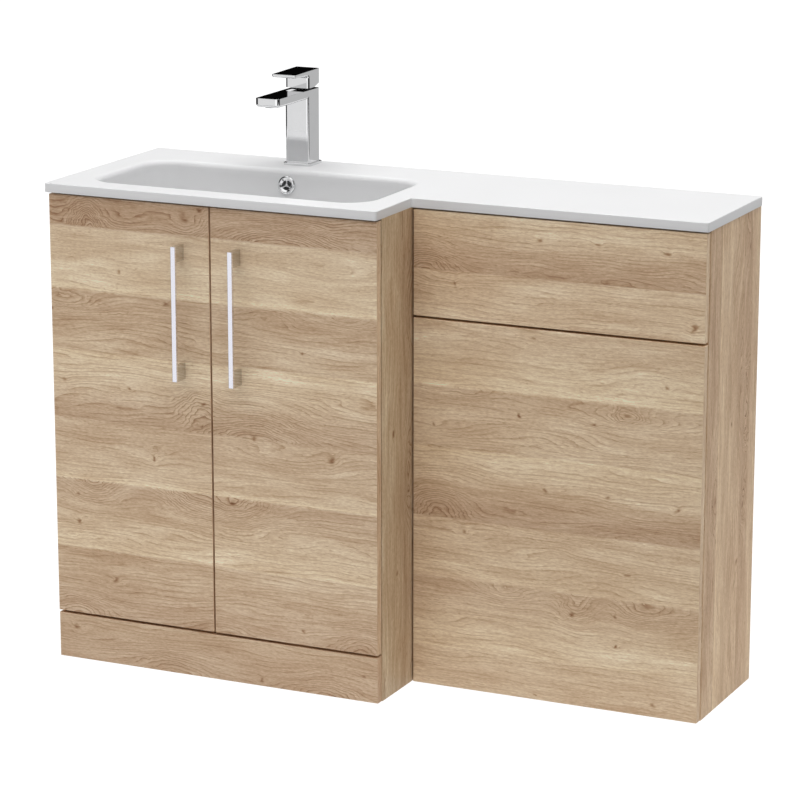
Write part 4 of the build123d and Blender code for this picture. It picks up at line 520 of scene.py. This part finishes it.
# the handles' posts get a painted darker, warmer tint: painted shade and a painted reflection of the door's oak
bar = metal("handle_chrome", (0.88, 0.88, 0.96), 0.10, 0.04, post_shade_and_reflection=(0.66, 0.64, 0.62))
dress(bar, "left_handle", "right_handle")
dress(metal("dark_chrome", (0.26, 0.26, 0.27), 0.34, 0.06), "tap_carrier", "tap_cartridge_nut")
zinc = metal("zinc_steel", (0.62, 0.63, 0.65), 0.34, 0.10, 0.00003, grime=0.08)
dress(
    zinc, "cam_bolts", "bracket_screws", "wc_panel_screws", "left_door_screws", "right_door_screws", "hinge_plate_screws",
    "wall_brackets", "cabinet_connectors", "access_panel_studs", "shelf_pins", "tap_fixing_washer", "tap_grub_screw",
)
dress(metal("zinc_casting", (0.52, 0.53, 0.54), 0.46, 0.12, 0.00006, grime=0.12), "cam_locks")
dress(
    metal("nickel_steel", (0.66, 0.645, 0.61), 0.24, 0.08, 0.00002, brush=(1.0, 6.0, 1.0)),
    "left_hinge_cups", "right_hinge_cups", "left_hinge_links", "right_hinge_links", "hinge_arms", "hinge_plates",
)
dress(plastic("white_plastic", (0.78, 0.78, 0.76), 0.42), "plinth_blocks", "access_panel_sockets", "waste_back_nut", "tap_cartridge")
dress(plastic("grey_plastic", (0.30, 0.31, 0.32), 0.5), "tap_aerator")
dress(plastic("clear_rubber", (0.82, 0.84, 0.85), 0.22, trans=0.6), "soft_buffers")
dress(plastic("black_rubber", (0.03, 0.03, 0.032), 0.62), "waste_seals")
dress(metal("brass", (0.80, 0.60, 0.30), 0.28, 0.08, 0.00002, grime=0.08), "tap_lever_stem", "tap_stud", "tap_fixing_nut")
dress(
    oak("beech_dowel", "flat", [(-385, 0.9), (5, 0.75)], [(-385, 0.3, 0.4), (5, 0.5, 0.4)], gain=(1.10, 1.02, 0.86)),
    "wooden_dowels",
)

# ---------------------------------------------------------------- floor, light, camera
BOUNCE = 1.0
bpy.ops.mesh.primitive_plane_add(size=120.0, location=(0, 0, 0))
floor = bpy.context.object
floor.name = "floor"
fm, ft, fp = material("floor_pale")
tc = ft.node("ShaderNodeTexCoord")
grit = ft.noise(tc.outputs["Object"], 14.0, 3.0, 0.5)
setp(
    ft, fp, Base_Color=ft.scale_color((0.10, 0.10, 0.10), ft.mad(grit, 0.1, 0.95)), Roughness=ft.mad(grit, 0.1, 0.85),
    Specular_IOR_Level=0.0, Emission_Color=(1.0, 1.0, 1.0), Emission_Strength=0.98,
)
floor.data.materials.append(fm)
floor.visible_glossy = False
floor.visible_diffuse = False

# light that the pale floor throws back up, softer than the floor looks from the camera
bpy.ops.mesh.primitive_plane_add(size=120.0, location=(0, 0, -0.002))
under = bpy.context.object
under.name = "floor_bounce"
um, ut, up = material("floor_bounce_pale")
tc = ut.node("ShaderNodeTexCoord")
ux, uy, uz = ut.split(tc.outputs["Object"])
away = ut.add(ut.mul(ut.sub(ux, 2.23), 0.95), ut.mul(ut.add(uy, 4.754), 0.312))
setp(
    ut, up, Base_Color=(0.10, 0.10, 0.10), Roughness=0.9, Specular_IOR_Level=0.0, Emission_Color=(1.0, 1.0, 1.0),
    Emission_Strength=ut.mul(
        ut.smooth(away, 0.05, 1.5, 0.80 * BOUNCE, 0.50 * BOUNCE),
        ut.mad(
            ut.mul(ut.smooth(ux, 0.05, 0.40), ut.smooth(uy, -0.10, -0.45)), -0.45,
            ut.mad(ut.mul(ut.smooth(ux, 0.55, 0.85), ut.smooth(uy, -0.20, 0.20)), 0.35, 1.0),
        ),
    ),
)
under.data.materials.append(um)
under.visible_camera = False
under.visible_glossy = False
under.visible_shadow = False

# what polished metal and glaze mirror: a wide white card in front, one behind, black flags to the sides
bpy.ops.mesh.primitive_uv_sphere_add(segments=64, ring_count=32, radius=30.0, location=(-0.25, 0.15, 0.9))
dome = bpy.context.object
dome.name = "studio_cards"
dm = bpy.data.materials.new("studio_cards")
dm.use_nodes = True
dm.node_tree.nodes.clear()
dt = Tree(dm.node_tree)
do = dt.node("ShaderNodeOutputMaterial")
de = dt.node("ShaderNodeEmission")
dm.node_tree.links.new(de.outputs[0], do.inputs[0])
tc = dt.node("ShaderNodeTexCoord")
dx, dy, dz = dt.split(dt.v("NORMALIZE", tc.outputs["Object"]))
turn = dt.mul(dt.m("ARCTAN2", dx, dt.mul(dy, -1.0)), 57.29578)
rise = dt.mul(dt.m("ARCSINE", dz), 57.29578)
card = dt.mul(dt.smooth(turn, -35.0, -31.0), dt.smooth(turn, 45.0, 41.0))
card = dt.mul(card, dt.smooth(turn, -24.0, -8.0, 0.93, 1.30))
card = dt.mul(card, dt.smooth(rise, 0.0, 14.0, 1.0, 0.76))
grey = dt.mul(dt.smooth(turn, 141.0, 146.0), dt.smooth(turn, 177.0, 173.0))
grey = dt.mul(grey, 0.59)
low = dt.m("MAXIMUM", dt.smooth(turn, 161.0, 166.0), dt.smooth(turn, -140.0, -144.0))
low = dt.mul(low, dt.smooth(rise, -3.0, -6.0, 0.0, 1.1))
over = dt.smooth(rise, 42.0, 58.0, 0.0, 1.25)
level = dt.m("MAXIMUM", dt.m("MAXIMUM", card, grey), dt.m("MAXIMUM", low, over))
dt.put(de.inputs["Color"], (1.0, 1.0, 1.0))
flag = dt.mul(dt.smooth(rise, -2.0, 4.0), dt.m("MAXIMUM", dt.smooth(turn, 174.0, 178.0), dt.smooth(turn, -60.0, -110.0)))
dt.put(de.inputs["Strength"], dt.m("MAXIMUM", level, dt.mad(flag, -0.040, 0.042)))
dome.data.materials.append(dm)
dome.visible_camera = False
dome.visible_diffuse = False
dome.visible_transmission = False
dome.visible_volume_scatter = False
dome.visible_shadow = False

world = bpy.data.worlds.new("studio")
bpy.context.scene.world = world
world.use_nodes = True
world.node_tree.nodes.clear()
wt = Tree(world.node_tree)
wo = wt.node("ShaderNodeOutputWorld")
bg = wt.node("ShaderNodeBackground")
world.node_tree.links.new(bg.outputs[0], wo.inputs[0])
wc = wt.node("ShaderNodeTexCoord")
wx, wy, wz = wt.split(wc.outputs["Generated"])
wt.put(bg.inputs["Color"], (1.0, 1.0, 1.0))
seen = wt.node("ShaderNodeLightPath").outputs["Is Camera Ray"]
wt.put(bg.inputs["Strength"], wt.m("MAXIMUM", wt.smooth(wz, 0.55, 0.90, 0.0, 3.0), seen))

cam_data = bpy.data.cameras.new("camera")
cam = bpy.data.objects.new("camera", cam_data)
bpy.context.scene.collection.objects.link(cam)
cam.location = (2.23087, -4.7538, 1.76137)
cam.rotation_mode = "QUATERNION"
cam.rotation_quaternion = Vector((-0.41128, 0.87926, -0.24031)).to_track_quat("-Z", "Y")
cam_data.sensor_width = 36.0
cam_data.lens = 149.13
cam_data.clip_start = 0.05
cam_data.clip_end = 200.0
bpy.context.scene.camera = cam

bpy.context.scene.view_settings.view_transform = "Standard"
bpy.context.scene.view_settings.look = "None"
